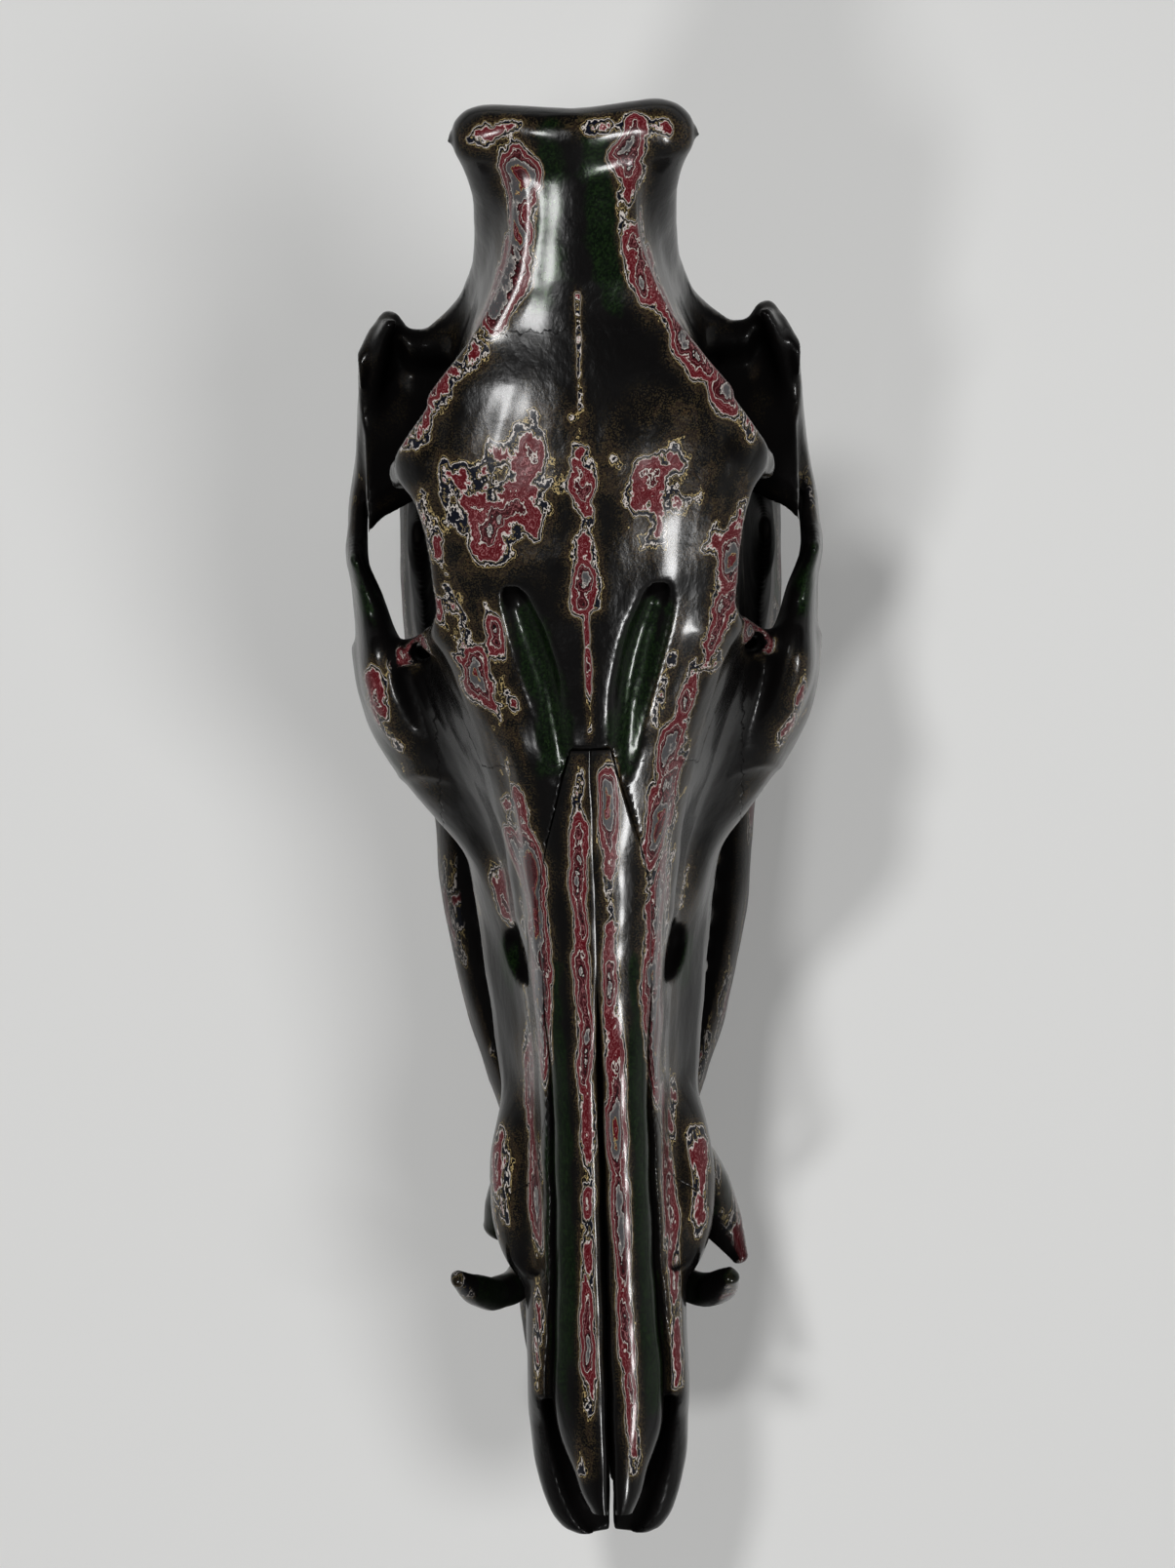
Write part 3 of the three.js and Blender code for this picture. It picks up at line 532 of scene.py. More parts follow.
def shelf_ring(x):
    """The shelf over the jaw joint, in slices from the braincase out to the arch."""
    front, back, low, high = shelf_front(x), shelf_back(x), shelf_low(x), shelf_high(x)
    outline = [(front, low + 3), (front + 4, low), (back - 8, low), (back, low + 8), (back, high + 3),
               (back - 4, high + 3), (back - 9, high - 5), (front + 6, low + 9)]
    return catmull(outline, 32, closed=True)


CREST_Y = 158.7
CREST_Z = NUCHAL_HEIGHT - 6.7
CREST_RADII = (4.7, 5.6)
CREST_BOW, CREST_CURL, CREST_DROOP = 2.4, 1.6, 3.5


def crest_ring(x):
    """The thick rim across the nape."""
    u = abs(x) / (NUCHAL_WIDTH / 2)
    taper = max(math.sqrt(1 - min(u, 1) ** 6), 0.05)
    centre_y = CREST_Y + CREST_BOW * math.sin(math.pi * 0.62 * u) ** 2 - CREST_CURL * u ** 4
    centre_z = CREST_Z - CREST_DROOP * u ** 2
    turn = turns(32)
    return np.stack([centre_y + CREST_RADII[0] * taper * np.cos(turn),
                     centre_z + CREST_RADII[1] * taper * np.sin(turn)], 1)


scoop_outer = profile(
    (-166, 8.5), (-165, 11.5), (-162.5, 14), (-160, 15.5), (-153, 17.8), (-143, 19.3), (-131, 20),
    (-97, 19.4))
scoop_upper = profile((-166, 77), (-150, 82), (-136, 90), (-128, 97), (-97, 103))
scoop_lower = profile((-166, 67), (-140, 69), (-97, 74))
SCOOP_BACK_Y = -97
SCOOP_OPEN_Y = -128
SCOOP_WALL = 3.2
SCOOP_FLOOR = 6.5
NASAL_THICKNESS = 7
PASSAGE_HALF = 11
pterygoid_lower = profile((42, 82), (58, 76), (70, 80), (88, 99))


def scoop_ring(y):
    half = scoop_outer(y)
    return plate_ring(-half, half, scoop_lower(y), scoop_upper(y), squareness=3.4, count=48)


def scoop_hollow_ring(y):
    half = scoop_outer(y) - SCOOP_WALL
    return plate_ring(-half, half, scoop_lower(y) + SCOOP_FLOOR, scoop_upper(y) + 60, squareness=4, count=48)


def passage_ring(y):
    """The nasal passage behind the scoop."""
    floor, ceiling = scoop_lower(y) + SCOOP_FLOOR + 1, dorsal_height(y) - NASAL_THICKNESS - 1
    return plate_ring(-PASSAGE_HALF, PASSAGE_HALF, floor, ceiling, squareness=2.6, count=32)


def pterygoid_ring(y):
    return plate_ring(9, 14.5, pterygoid_lower(y), 110)


# Teeth

# Length, widths and cusps of each cheek tooth, from the back
CHEEK_TEETH = [
    (27, {"upper": 15.5, "lower": 12.5}, 4), (19, {"upper": 14.5, "lower": 12}, 3),
    (15, {"upper": 12.5, "lower": 10.5}, 2), (12, {"upper": 11.5, "lower": 9}, 2),
    (12, {"upper": 8.5, "lower": 7.5}, 2), (11, {"upper": 6.5, "lower": 6}, 1),
    (7, {"upper": 5, "lower": 4.5}, 1),
]
TOOTH_ROW_BACK_Y = 46
BITE_Z = 65
BITE_GAP = 0.8
GUM_Z = {"upper": 79, "lower": 51}
CUSP_FULLNESS = 1.12
CUSP_REACH = 0.56
CUSP_ROOT, CUSP_HEIGHT = 0.35, 0.65
ROW_X = {"upper": profile((-60, 19.5), (-20, 22), (46, 24)), "lower": profile((-60, 19), (-20, 24), (46, 29))}


def cheek_teeth(jaw):
    """The cusps and necks of one side's cheek teeth."""
    back = TOOTH_ROW_BACK_Y
    gum = GUM_Z[jaw]
    face = BITE_Z + (BITE_GAP / 2 if jaw == "upper" else -BITE_GAP / 2)
    height = abs(gum - face)
    toward = 1 if face > gum else -1
    for length, widths, cusps in CHEEK_TEETH:
        rows = 2 if cusps > 1 else 1
        pitch = length / cusps
        for i in range(cusps):
            y = back - pitch * (i + 0.5)
            x = ROW_X[jaw](y)
            for side in ((-0.25, 0.25) if rows == 2 else (0,)):
                width = widths[jaw] / (2 * rows) * CUSP_FULLNESS
                centre = (x + side * widths[jaw], y, gum + toward * height * CUSP_ROOT)
                yield Ellipsoid(centre, (width, pitch * CUSP_REACH, height * CUSP_HEIGHT))
        back -= length


def incisors(jaw):
    """One side's three front teeth, each smaller and further back than the one before."""
    for i in range(3):
        x = 5 + 4.2 * i
        y = NOSE_TIP_Y + 6 + 5.5 * i * (1.25 if i > 1 else 0.7)
        size = 3.1 - 0.45 * i
        if jaw == "upper":
            points = [(x, y + 4, 73), (x * 0.97, y + 1.5, 67), (x * 0.85, y + 1.5, 62.5 + i)]
            yield Bar(points, [size, size * 0.92, size * 0.5])
        else:
            points = [(x * 0.85, y + 16, 50), (x * 0.8, y + 8, 56), (x * 0.72, y + 4.5, 60.5 - i)]
            yield Bar(points, [size, size * 0.92, size * 0.55])


NASAL_FREE_Y = -38
nasal_slit = profile(
    (-160, 2.2), (-120, 2), (-80, 1.7), (-52, 1.2), (-34, 0.3), (-10, 0.12), (NASION_Y, 0.12))
nasal_half = profile(
    (-170, 15), (-126, 14.6), (-94, 12.8), (-46, 12), (-26, 12.8), (-8, 13.2), (6, 11.2), (18, 7.8),
    (NASION_Y, 4.6))


def nasal_bed_ring(y):
    """The space that the nasal bones and the slits beside them take out of the face."""
    half = nasal_half(y) + nasal_slit(y) / 2
    floor = dorsal_height(y) - NASAL_THICKNESS
    return plate_ring(-half, half, floor, floor + 60, squareness=14, count=48)


TIP_GAP_BACK_Y = -134


def tip_gap_ring(y):
    """The gap between the tips of the premaxillae, widest at the front."""
    half = 0.25 + 0.3 * (TIP_GAP_BACK_Y - y) / 32
    return plate_ring(-half, half, 40, 130, squareness=20, count=32)


TEMPORAL_LINE = [(12.6, 156), (10.8, 142), (14.6, 129), (22.6, 116.5), (32, 107)]
GROOVE_LINE = [(15.5, 62, 1), (13, 54, 1.6), (10.5, 44, 1.8), (8.6, 34, 2), (7.4, 24, 2.4)]
TOOTH_FILLET, INCISOR_FILLET = 1.2, 0.8

# What is joined to the core or cut out of it, in this order, each with the width of its fillet
CRANIUM_FORMS = {
    "brow": (3, Loft(brow_ring, 28, 130)),
    "process behind the eye": (4, Bar([(33, POSTORBITAL_Y + 1, 165), (39, POSTORBITAL_Y, 157.5),
                                       (41.3, POSTORBITAL_Y - 1.5, 150.5)], [5.5, 3.8, 1.8])),
    "cheek": (6, Loft(cheek_ring, CHEEK_FRONT_Y, ORBIT_FRONT_Y)),
    "arch": (4, Loft(arch_ring, 26, 128.5)),
    "shelf over the jaw joint": (4, Loft(shelf_ring, 18, 50, axis=0)),
    "nape crest": (6, Loft(crest_ring, 0, NUCHAL_WIDTH / 2, axis=0)),
    "temporal ridge": (3, Bar([on_roof(*place, -1.7) for place in TEMPORAL_LINE],
                              [1.6, 1.7, 1.7, 1.5, 0.8], 16)),
    "nape edge": (6, Bar([(19.5, 157.5, 193), (17, 150, 178), (17, 142, 162), (20, 134, 148), (27, 125, 139)],
                         [4.6, 4.2, 4, 4.5, 5])),
    "condyle": (2, Ellipsoid((11.5, CONDYLE_Y, 113), (8, 9, 10))),
    "paramastoid process": (4, Bar([(23, 123, 122), (26, 121, 95), (23.5, 117, 66)], [7.5, 5, 1.8])),
    "ear bulla": (3, Ellipsoid((16, 107, 98), (8, 10, 14))),
    "pterygoid": (3, Loft(pterygoid_ring, 42, 88)),
    "canine swelling": (6, Ellipsoid((19.5, CANINE_Y, 89), (8.3, 22, 10))),
}
CRANIUM_HOLLOWS = {
    "nasal passage": (1, Loft(passage_ring, -150, -70)),
    "eye socket": (3, Ellipsoid((37.5, ORBIT_Y + 1, 140), (13, 22.5, 16), 0.26)),
    "forehead groove": (1.6, Bar([on_roof(*place) for place in GROOVE_LINE], [3.2, 4.4, 4.6, 4, 2.8])),
    "forehead hole": (0.8, Bar([on_roof(15.6, 62, 0), on_roof(17, 70, -5)], [2.2, 1.8])),
    "cheek hole": (1.2, Ellipsoid((19.6, FORAMEN_Y + 0.5, 106), (4.6, 7.6, 8), -0.38)),
    "cheek canal": (1, Bar([(18, FORAMEN_Y + 1, 106), (13.5, -6, 108), (14, 4, 108)], [4, 3.2, 2.4])),
}
TEAR_LEDGE = Bar([(30.5, 58.5, 150), (35, 56.5, 141), (40, 54.5, 131), (45, 53, 122)], [3.4, 3, 2.6, 2])
LAST_HOLLOWS = {
    "upper tear pit": (0.8, Bar([(34.2, 61, 148), (32.5, 56, 138)], [1.7, 1.2])),
    "lower tear pit": (1.2, Bar([(38.9, 53.5, 138), (38, 54.5, 124)], [2.6, 1.8])),
    "neck hole": (2, Ellipsoid((0, CONDYLE_Y + 3, 122), (9, 15, 9))),
    "free nasal bed": (1.3, Loft(nasal_bed_ring, -170, NASAL_FREE_Y)),
    "flush nasal bed": (0.2, Loft(nasal_bed_ring, NASAL_FREE_Y - 1, NASION_Y)),
    "gap between the tips": (1, Loft(tip_gap_ring, NOSE_TIP_Y - 6, TIP_GAP_BACK_Y)),
}


def add_teeth(field, jaw):
    for tooth in cheek_teeth(jaw):
        field.add(tooth, TOOTH_FILLET)
    for tooth in incisors(jaw):
        field.add(tooth, INCISOR_FILLET)


def cranium_field():
    field = Field((0, NOSE_TIP_Y - 3, 59), (60, NUCHAL_Y + 3, NUCHAL_HEIGHT + 3), GRID_STEP)
    field.add(Loft(cranium_ring, NASAL_TIP_Y, NAPE_Y), 0)
    field.add(Loft(scoop_ring, NOSE_TIP_Y + 0.15, SCOOP_BACK_Y), 2.5)
    field.cut(Loft(scoop_hollow_ring, NOSE_TIP_Y - 8, SCOOP_OPEN_Y), 1.5)
    field.add(Loft(cranium_ring, NASAL_TIP_Y, -110), 0)
    for fillet, form in CRANIUM_FORMS.values():
        field.add(form, fillet)
    add_teeth(field, "upper")
    for fillet, form in CRANIUM_HOLLOWS.values():
        field.cut(form, fillet)
    field.add(TEAR_LEDGE, 3)
    for fillet, form in LAST_HOLLOWS.values():
        field.cut(form, fillet)
    return field


# The lower jaw

jaw_outer = profile(
    (-153, 9), (-140, 15), (-126, 19.6), (-114, 21.5), (-103, 22.3), (-88, 22.5), (-64.5, 25.9), (-55, 29),
    (-38.5, 34.2), (-22, 38), (-2.5, 41.2), (10, 42), (40, 45.5), (70, 48.7), (106, 49))
jaw_inner = profile(
    (-88, 1), (-80, 3), (-74, 5), (-60, 12), (-38, 20), (-20, 24), (0, 25.5), (40, 29), (60, 35), (106, 40))
jaw_upper = profile((-153, 57), (-130, 55.5), (-100, 53), (-50, 53), (45, 54), (60, 62), (106, 60))
jaw_lower = profile(
    (-153, 50), (-140, 39), (-120, 23), (-100, 9), (-86, 2), (-70, -1.2), (-35, -0.6), (0, 2.5), (35, 2.5),
    (62, -0.6), (90, -1.2), (100, 4), (106, 16))
ramus_front = profile((6, 64), (20, 58), (45, 51), (60, 52), (80, 60), (100, 68), (112, 72), (128, 79))
ramus_back = profile(
    (6, 100), (20, 108), (40, 113), (60, 113), (80, 110), (96, 107), (104, 98), (112, 90), (128, 84))
ramus_middle_x = profile((0, 46), (30, 45), (60, 42.8), (95, 41.2), (128, 40.5))
ramus_thickness = profile((0, 9), (45, 9), (80, 7), (110, 6), (128, 2.5))


def chin_ring(y):
    return plate_ring(-jaw_outer(y), jaw_outer(y), jaw_lower(y), jaw_upper(y), squareness=2.9, count=48)


def jaw_ring(y):
    return plate_ring(jaw_inner(y), jaw_outer(y), jaw_lower(y), jaw_upper(y), squareness=2.9)


def ramus_ring(z):
    front, back, thick = ramus_front(z), ramus_back(z), ramus_thickness(z)
    turn = turns(40)
    long_way = flattened(np.cos(turn), 0.8)
    return np.stack([ramus_middle_x(z) + thick / 2 * np.sin(turn),
                     (front + back) / 2 + (back - front) / 2 * long_way], 1)


class Floor:
    """All that is below the floor, and a hair above it."""

    CLEAR = 0.08
    low, high = np.array([-100, -400, -20]), np.array([100, 400, 0])

    def distance(self, x, y, z):
        return np.broadcast_to(z[None, None, :] - self.CLEAR, (len(x), len(y), len(z)))


JAW_NECK = Bar([(42.5, 101, 92), (40, JAW_JOINT_Y, 104), (36, JAW_JOINT_Y, 112)], [5.5, 4.8, 4.6])
JAW_HEAD = Ellipsoid((34.5, JAW_JOINT_Y, 113.6), (9, 6.5, 5))
CHIN_HOLES = [Bar([(36, -48, 31), (30, -42, 30)], [2, 1.5]), Bar([(31, -62, 36), (24, -56, 35)], [1.7, 1.2])]


def jaw_field():
    """The whole lower jaw, before it is swung and parted."""
    field = Field((0, -168, -3), (54, 118, 131), GRID_STEP * 1.15)
    field.add(Loft(chin_ring, -153, -77), 0)
    field.add(Loft(jaw_ring, -88, 106), 4)
    field.add(Loft(ramus_ring, 6, 128, axis=2), 5)
    field.add(JAW_NECK, 3)
    field.add(JAW_HEAD, 2)
    add_teeth(field, "lower")
    for hole in CHIN_HOLES:
        field.cut(hole, 1)
    field.cut(Floor(), 0.6)
    return field


# Parting the cranium into its bones

def block(low, high):
    low, high = np.array(low, float), np.array(high, float)
    corners = list(np.ndindex(2, 2, 2))
    faces = [(0, 1, 3, 2), (4, 6, 7, 5), (0, 4, 5, 1), (2, 3, 7, 6), (0, 2, 6, 4), (1, 5, 7, 3)]
    return low + (high - low) * np.array(corners), faces


def prism(outline, from_x, to_x):
    """A side outline of (y, z) points, anticlockwise as seen from +X, drawn out across X."""
    count = len(outline)
    low, high = sorted((from_x, to_x))
    points = [(x, y, z) for x in (low, high) for y, z in outline]
    faces = [list(range(count))[::-1], list(range(count, 2 * count))]
    faces += [[i, (i + 1) % count, (i + 1) % count + count, i + count] for i in range(count)]
    return points, faces


FAR = 400
CORONAL_Y = 119
FACE_BACK_Y = 60
PREMAXILLA_LOW, PREMAXILLA_HIGH = (-113, 72), (-36, 128)
FRONTAL_DEPTH = 26
FRONTAL_STEP_Y = 100
FRONTAL_FRONT_RISE = 9
ZYGOMATIC_INNER = 36
ZYGOMATIC_TOP, ZYGOMATIC_RISE = 139.5, 25.5
ZYGOMATIC_RISE_Y = (107.6, 108.4)
SUTURE_STEP = 0.4


def premaxilla_space(gap):
    (low_y, low_z), (high_y, high_z) = PREMAXILLA_LOW, PREMAXILLA_HIGH
    back = [(low_y - gap, -FAR), (low_y - gap, low_z), (high_y - gap, high_z), (high_y - gap, FAR)]
    return prism([(-FAR, -FAR), *back, (-FAR, FAR)], -FAR, FAR)


def face_space(gap):
    return block((-FAR, -FAR, -FAR), (FAR, FACE_BACK_Y - gap, FAR))


def wave(place):
    """How far a suture strays from its line."""
    return 0.4 * np.sin(1.7 * place) + 0.25 * np.sin(4.3 * place + 1)


def frontal_space(gap):
    def floor(y):
        return dorsal_height(y) - FRONTAL_DEPTH + gap

    rings = []
    for x in np.arange(-64, 64.1, SUTURE_STEP):
        front, back = NASION_Y - 3 + gap + 0.5 * wave(x), CORONAL_Y - gap + wave(x)
        outline = [(front, floor(NASION_Y) + FRONTAL_FRONT_RISE), (FRONTAL_STEP_Y, floor(FRONTAL_STEP_Y)),
                   (back, floor(CORONAL_Y - 1)), (back, FAR), (front, FAR)]
        rings.append([(x, y, z) for y, z in outline])
    return loft_mesh(rings)


def zygomatic_space(side, gap):
    rings = []
    rise_start, rise_end = ZYGOMATIC_RISE_Y
    for y in np.arange(-1, 141, SUTURE_STEP):
        inner = ZYGOMATIC_INNER + gap + 0.6 * wave(y)
        top = ZYGOMATIC_TOP - gap + ZYGOMATIC_RISE * smoothstep(y, rise_start + gap, rise_end + gap)
        rings.append([(side * x, y, z) for x, z in ((inner, 0), (FAR, 0), (FAR, top), (inner, top))])
    return loft_mesh(rings)


def side_space(side, gap):
    ends = sorted([side * gap, side * FAR])
    return block((ends[0], -FAR, -FAR), (ends[1], FAR, FAR))


def boolean(target, shape, operation):
    """Cuts a mesh object with a closed shape, in place."""
    cutter = make_mesh("cutter", *shape)
    modifier = target.modifiers.new("cut", "BOOLEAN")
    modifier.operation = operation
    modifier.solver = "MANIFOLD"
    modifier.object = cutter
    graph = bpy.context.evaluated_depsgraph_get()
    mesh = bpy.data.meshes.new_from_object(target.evaluated_get(graph))
    target.modifiers.clear()
    old = target.data
    target.data = mesh
    bpy.data.meshes.remove(old)
    bpy.data.objects.remove(cutter)


def part_of(whole, *shapes):
    """The part of a whole that lies inside every one of the shapes."""
    part = new_object("part", whole.data.copy())
    for shape in shapes:
        boolean(part, shape, "INTERSECT")
    return part


def part_cranium(whole):
    """Separate bones by name, each taken out of what is left of the whole."""
    bones = {}
    half = SEAM / 2
    for word, side in SIDES.items():
        bones[f"zygomatic_{word}"] = part_of(whole, zygomatic_space(side, half))
        boolean(whole, zygomatic_space(side, -half), "DIFFERENCE")
    bones["frontal"] = part_of(whole, frontal_space(half))
    boolean(whole, frontal_space(-half), "DIFFERENCE")
    for name, space in (("premaxilla", premaxilla_space), ("maxilla", face_space)):
        for word, side in SIDES.items():
            bones[f"{name}_{word}"] = part_of(whole, space(half), side_space(side, half))
        boolean(whole, space(-half), "DIFFERENCE")
    bones["braincase"] = whole
    return bones


# Nasal bones and tusks

def nasal_bone(side):
    """One of the two long roof plates of the muzzle: flush behind, free and rounded in front."""
    rings = []
    across = np.linspace(0, 1, 26)
    for y in np.linspace(NASAL_TIP_Y + 1, NASION_Y - 0.1, 170):
        free = smoothstep(-y, 20, 50)
        tip = smoothstep(-y, 146, 158)
        inner = 0.06 + 0.45 * free + 0.3 * tip
        outer = soft_min(nasal_half(y) - nasal_slit(y) / 2, dorsal_edge(y) + 0.6, 2)
        outer = max(outer, inner + 0.9)
        x = inner + (outer - inner) * across
        width = outer - inner
        edge = np.minimum(across, 1 - across) * width
        radius = 0.12 + 1.5 * free * min(1, width / 5)
        fillet = radius * (1 - np.sqrt(np.clip(1 - (1 - np.clip(edge / radius, 0, 1)) ** 2, 0, 1)))
        crown = 0.7 * free * np.sin(np.pi * across) * min(1, width / 9)
        top = roof(x, y) + crown - fillet
        thick = NASAL_THICKNESS - 1 - 2.8 * smoothstep(-y, 120, 158)
        under = np.full_like(x, top.min() - thick + 1.5)
        upper = np.stack([x, np.full_like(x, y), top], 1)
        lower = np.stack([x, np.full_like(x, y), under], 1)
        rings.append(np.concatenate([upper, lower[::-1]]) * (side, 1, 1))
    return loft_mesh(rings)


def horn(points, radii, keel, sections=60, count=28):
    """A tapering horn along a smooth path, with a rounded tip and a keel along one edge."""
    path = catmull(points, sections)
    radius = profile(*zip(np.linspace(0, 1, len(radii)), radii))(np.linspace(0, 1, sections))
    tangents = np.gradient(path, axis=0)
    tangents /= np.linalg.norm(tangents, axis=1, keepdims=True)
    across = np.cross(tangents[0], (0, 0, 1.0))
    rings = []
    turn = turns(count)
    for i in range(sections):
        across = across - tangents[i] * (across @ tangents[i])
        across /= np.linalg.norm(across)
        over = np.cross(across, tangents[i])
        shape = 1 + keel * np.cos(3 * turn)
        rings.append(path[i] + radius[i] * (np.cos(turn) * shape)[:, None] * across
                     + radius[i] * (np.sin(turn) * shape)[:, None] * over)
    tip_radius = radius[-1]
    for bend in np.linspace(0, math.pi / 2, 7)[1:-1]:
        shift = tangents[-1] * tip_radius * 0.8 * math.sin(bend)
        centre = rings[sections - 1].mean(0)
        rings.append(centre + shift + (rings[sections - 1] - centre) * math.cos(bend))
    return loft_mesh(rings)


LOWER_TUSK_REACH = {"left": 0, "right": 3}
UPPER_TUSK_PATHS = {
    "left": [(17, -66, 90), (24, -78, 81), (29.5, -88, 76), (34, -97, 77)],
    "right": [(17, -66, 90), (21, -76, 84), (24, -83, 80), (26, -87.5, 78)],
}
UPPER_TUSK_RADII = {"left": [8.2, 7.8, 5.6, 2.2], "right": [7, 6.4, 5.6, 4]}


def lower_tusk(name):
    side, reach = SIDES[name], LOWER_TUSK_REACH[name]
    path = [(15, LOWER_TUSK_Y + 8, 44), (20.5, LOWER_TUSK_Y - 1, 58), (26, LOWER_TUSK_Y - 1.8, 71),
            (29.5 + reach * 0.4, LOWER_TUSK_Y + 1, 83), (31.8 + reach, LOWER_TUSK_Y + 5.2, 92)]
    return horn([(side * x, y, z) for x, y, z in path], [4.2, 4.2, 4.2, 3.9, 2.2], keel=0.05)


def upper_tusk(name):
    side = SIDES[name]
    return horn([(side * x, y, z) for x, y, z in UPPER_TUSK_PATHS[name]], UPPER_TUSK_RADII[name], keel=0.04)


# How far the lacquer is rubbed through at each place

# Lines in plan: width, depth and the places that each passes through
RUBBED_LINES = [
    (6.5, 0.95, [(12.4, 157), (10.8, 150), (11.4, 140), (15.8, 127), (24, 115), (33, 106), (38, 98)]),
    (5.8, 1.05, [(36, 86), (33.5, 74), (31, 62), (27, 53), (23.5, 43), (18.5, 28), (15.8, 10), (14.2, -8),
                 (14, -25), (15, -40), (16.2, -54)]),
    (4, 0.95, [(3.4, 27), (3.4, -10), (3.6, -60), (4.6, -110), (6, -146)]),
    (3.4, 0.85, [(16, -42), (16.5, -80), (17.2, -125)]),
    (7, 0.8, [(23, -64), (25.5, -76), (24, -88)]),
    (5.5, 0.97, [(0, 100), (0, 62)]),
    (1.6, 0.7, [(0, 126), (0, 32)]),
    (18, 0.86, [(10, 90), (17, 85), (26, 80)]),
    (5, 0.7, [(22, 62), (19, 50), (15, 36)]),
    (7, 0.7, [(41, 18), (48, 32), (51, 48)]),
    (6, 0.72, [(36, 57), (44, 52)]),
    (7, 0.62, [(22, 4), (19, -10)]),
    (4.5, 0.72, [(0, 158), (12, 159), (23, 157)]),
]
FLAKED_LINES = [
    (6.5, 1, [(15, 60), (11, 46), (7.6, 27)]),
    (5, 1, [(5, 158), (6, 140), (8, 124)]),
    (4.5, 1, [(10, -20), (10, -80), (11, -130)]),
    (9, 1, [(50, 66), (51, 74)]),
    (9, 1, [(47, 12), (52, 30)]),
    (5, 1, [(20, -24), (20, -14)]),
]
END_FADE = 0.25
END_REACH = 0.18
LINE_SHARPNESS = 1.6
# Reaches and range for openness, which paints shade into hollows
OPEN_REACHES = (5, 10, 18, 28)
OPEN_RANGE = (0.62, 0.92)
TOP_DEPTHS = (30, 62)
SIDE_RUBBED = 0.5
SIDE_BOLD = 0.42
SIDE_BOLD_LOSS = 0.75
# Share of openness kept on the lower jaw: less openness means weaker shine and more painted shade
JAW_OPENNESS_SHARE = 0.5
# Share of green flake left in deep hollows, where it is dimmed as painted shade
HOLLOW_FLAKE = 0.3
flow_y = profile((-170, -62), (-40, -24), (20, 0), (60, 20), (110, 50), (170, 88))


def line_nearness(points, lines):
    """How near each point lies in plan to any of the lines: a line's depth on it, fading past its width."""
    plan = np.stack([np.abs(points[:, 0]), points[:, 1]], 1)
    best = np.zeros(len(points))
    for width, depth, places in lines:
        path = catmull(places, 24)
        away = np.full(len(points), np.inf)
        along = np.zeros(len(points))
        for i, (a, b) in enumerate(zip(path, path[1:])):
            t = np.clip(((plan - a) @ (b - a)) / ((b - a) @ (b - a)), 0, 1)
            distance = np.linalg.norm(plan - a - t[:, None] * (b - a), axis=1)
            along = np.where(distance < away, (i + t) / (len(path) - 1), along)
            away = np.minimum(away, distance)
        middle = smoothstep(np.minimum(along, 1 - along), 0, END_REACH)
        strength = depth * (1 - END_FADE + END_FADE * middle)
        best = np.maximum(best, strength * np.exp(-(away / width) ** 2 * LINE_SHARPNESS))
    return best


def openness(points, normals, fields):
    """How open the space over each point is: 1 over a flat or rounded place, 0 in a deep hollow."""
    total = np.zeros(len(points))
    for reach in OPEN_REACHES:
        clear = np.min([field.at(points + normals * reach) for field in fields], axis=0)
        total += np.clip(clear / reach, 0, 1)
    return smoothstep(total / len(OPEN_REACHES), *OPEN_RANGE)


def paint_depths(made, fields):
    """Stores on each point how deep the lacquer is rubbed, its green flake, boldness, openness and flow; low
    openness paints shade in hollows.
    """
    mesh = made.data
    points, normals = point_vectors(mesh, "co") / MM, point_vectors(mesh, "normal")
    below = dorsal_height(points[:, 1]) - points[:, 2]
    facing_up = smoothstep(normals[:, 2], -0.1, 0.4)
    on_top = smoothstep(-below, -TOP_DEPTHS[1], -TOP_DEPTHS[0]) * facing_up
    # Openness paints shade: hollows get weaker shine, less flake and blacker paint.
    open_unshaded = openness(points, normals, fields)
    if made.name.startswith(("mandible", "tusk")):
        on_top = on_top * 0
    # The jaw counts as half as open, so its shine is weaker, as painted shade.
    if made.name.startswith("mandible"):
        open_unshaded = open_unshaded * JAW_OPENNESS_SHARE
    side_bold = SIDE_BOLD * (1 - SIDE_BOLD_LOSS * smoothstep(points[:, 1], 70, 95))
    # Less flake in hollows, as painted shade.
    flake_share = HOLLOW_FLAKE + (1 - HOLLOW_FLAKE) * smoothstep(open_unshaded, 0.1, 0.5)
    values = {
        "rubbed": np.maximum(line_nearness(points, RUBBED_LINES) * on_top, SIDE_RUBBED * (1 - on_top)),
        "flaked": line_nearness(points, FLAKED_LINES) * facing_up * flake_share,
        # Less pattern shows on the sides, and in hollows the paint goes to black: painted shade.
        "bold": (side_bold + (1 - side_bold) * on_top) * smoothstep(open_unshaded, 0, 0.4),
        "open_unshaded": open_unshaded,
    }
    for name, value in values.items():
        attribute = mesh.attributes.new(name, "FLOAT", "POINT")
        attribute.data.foreach_set("value", value.astype(np.float32))
    flow = np.stack([points[:, 0], flow_y(points[:, 1]), points[:, 2]], 1) * MM
    attribute = mesh.attributes.new("flow", "FLOAT_VECTOR", "POINT")
    attribute.data.foreach_set("vector", flow.ravel().astype(np.float32))


# Materials

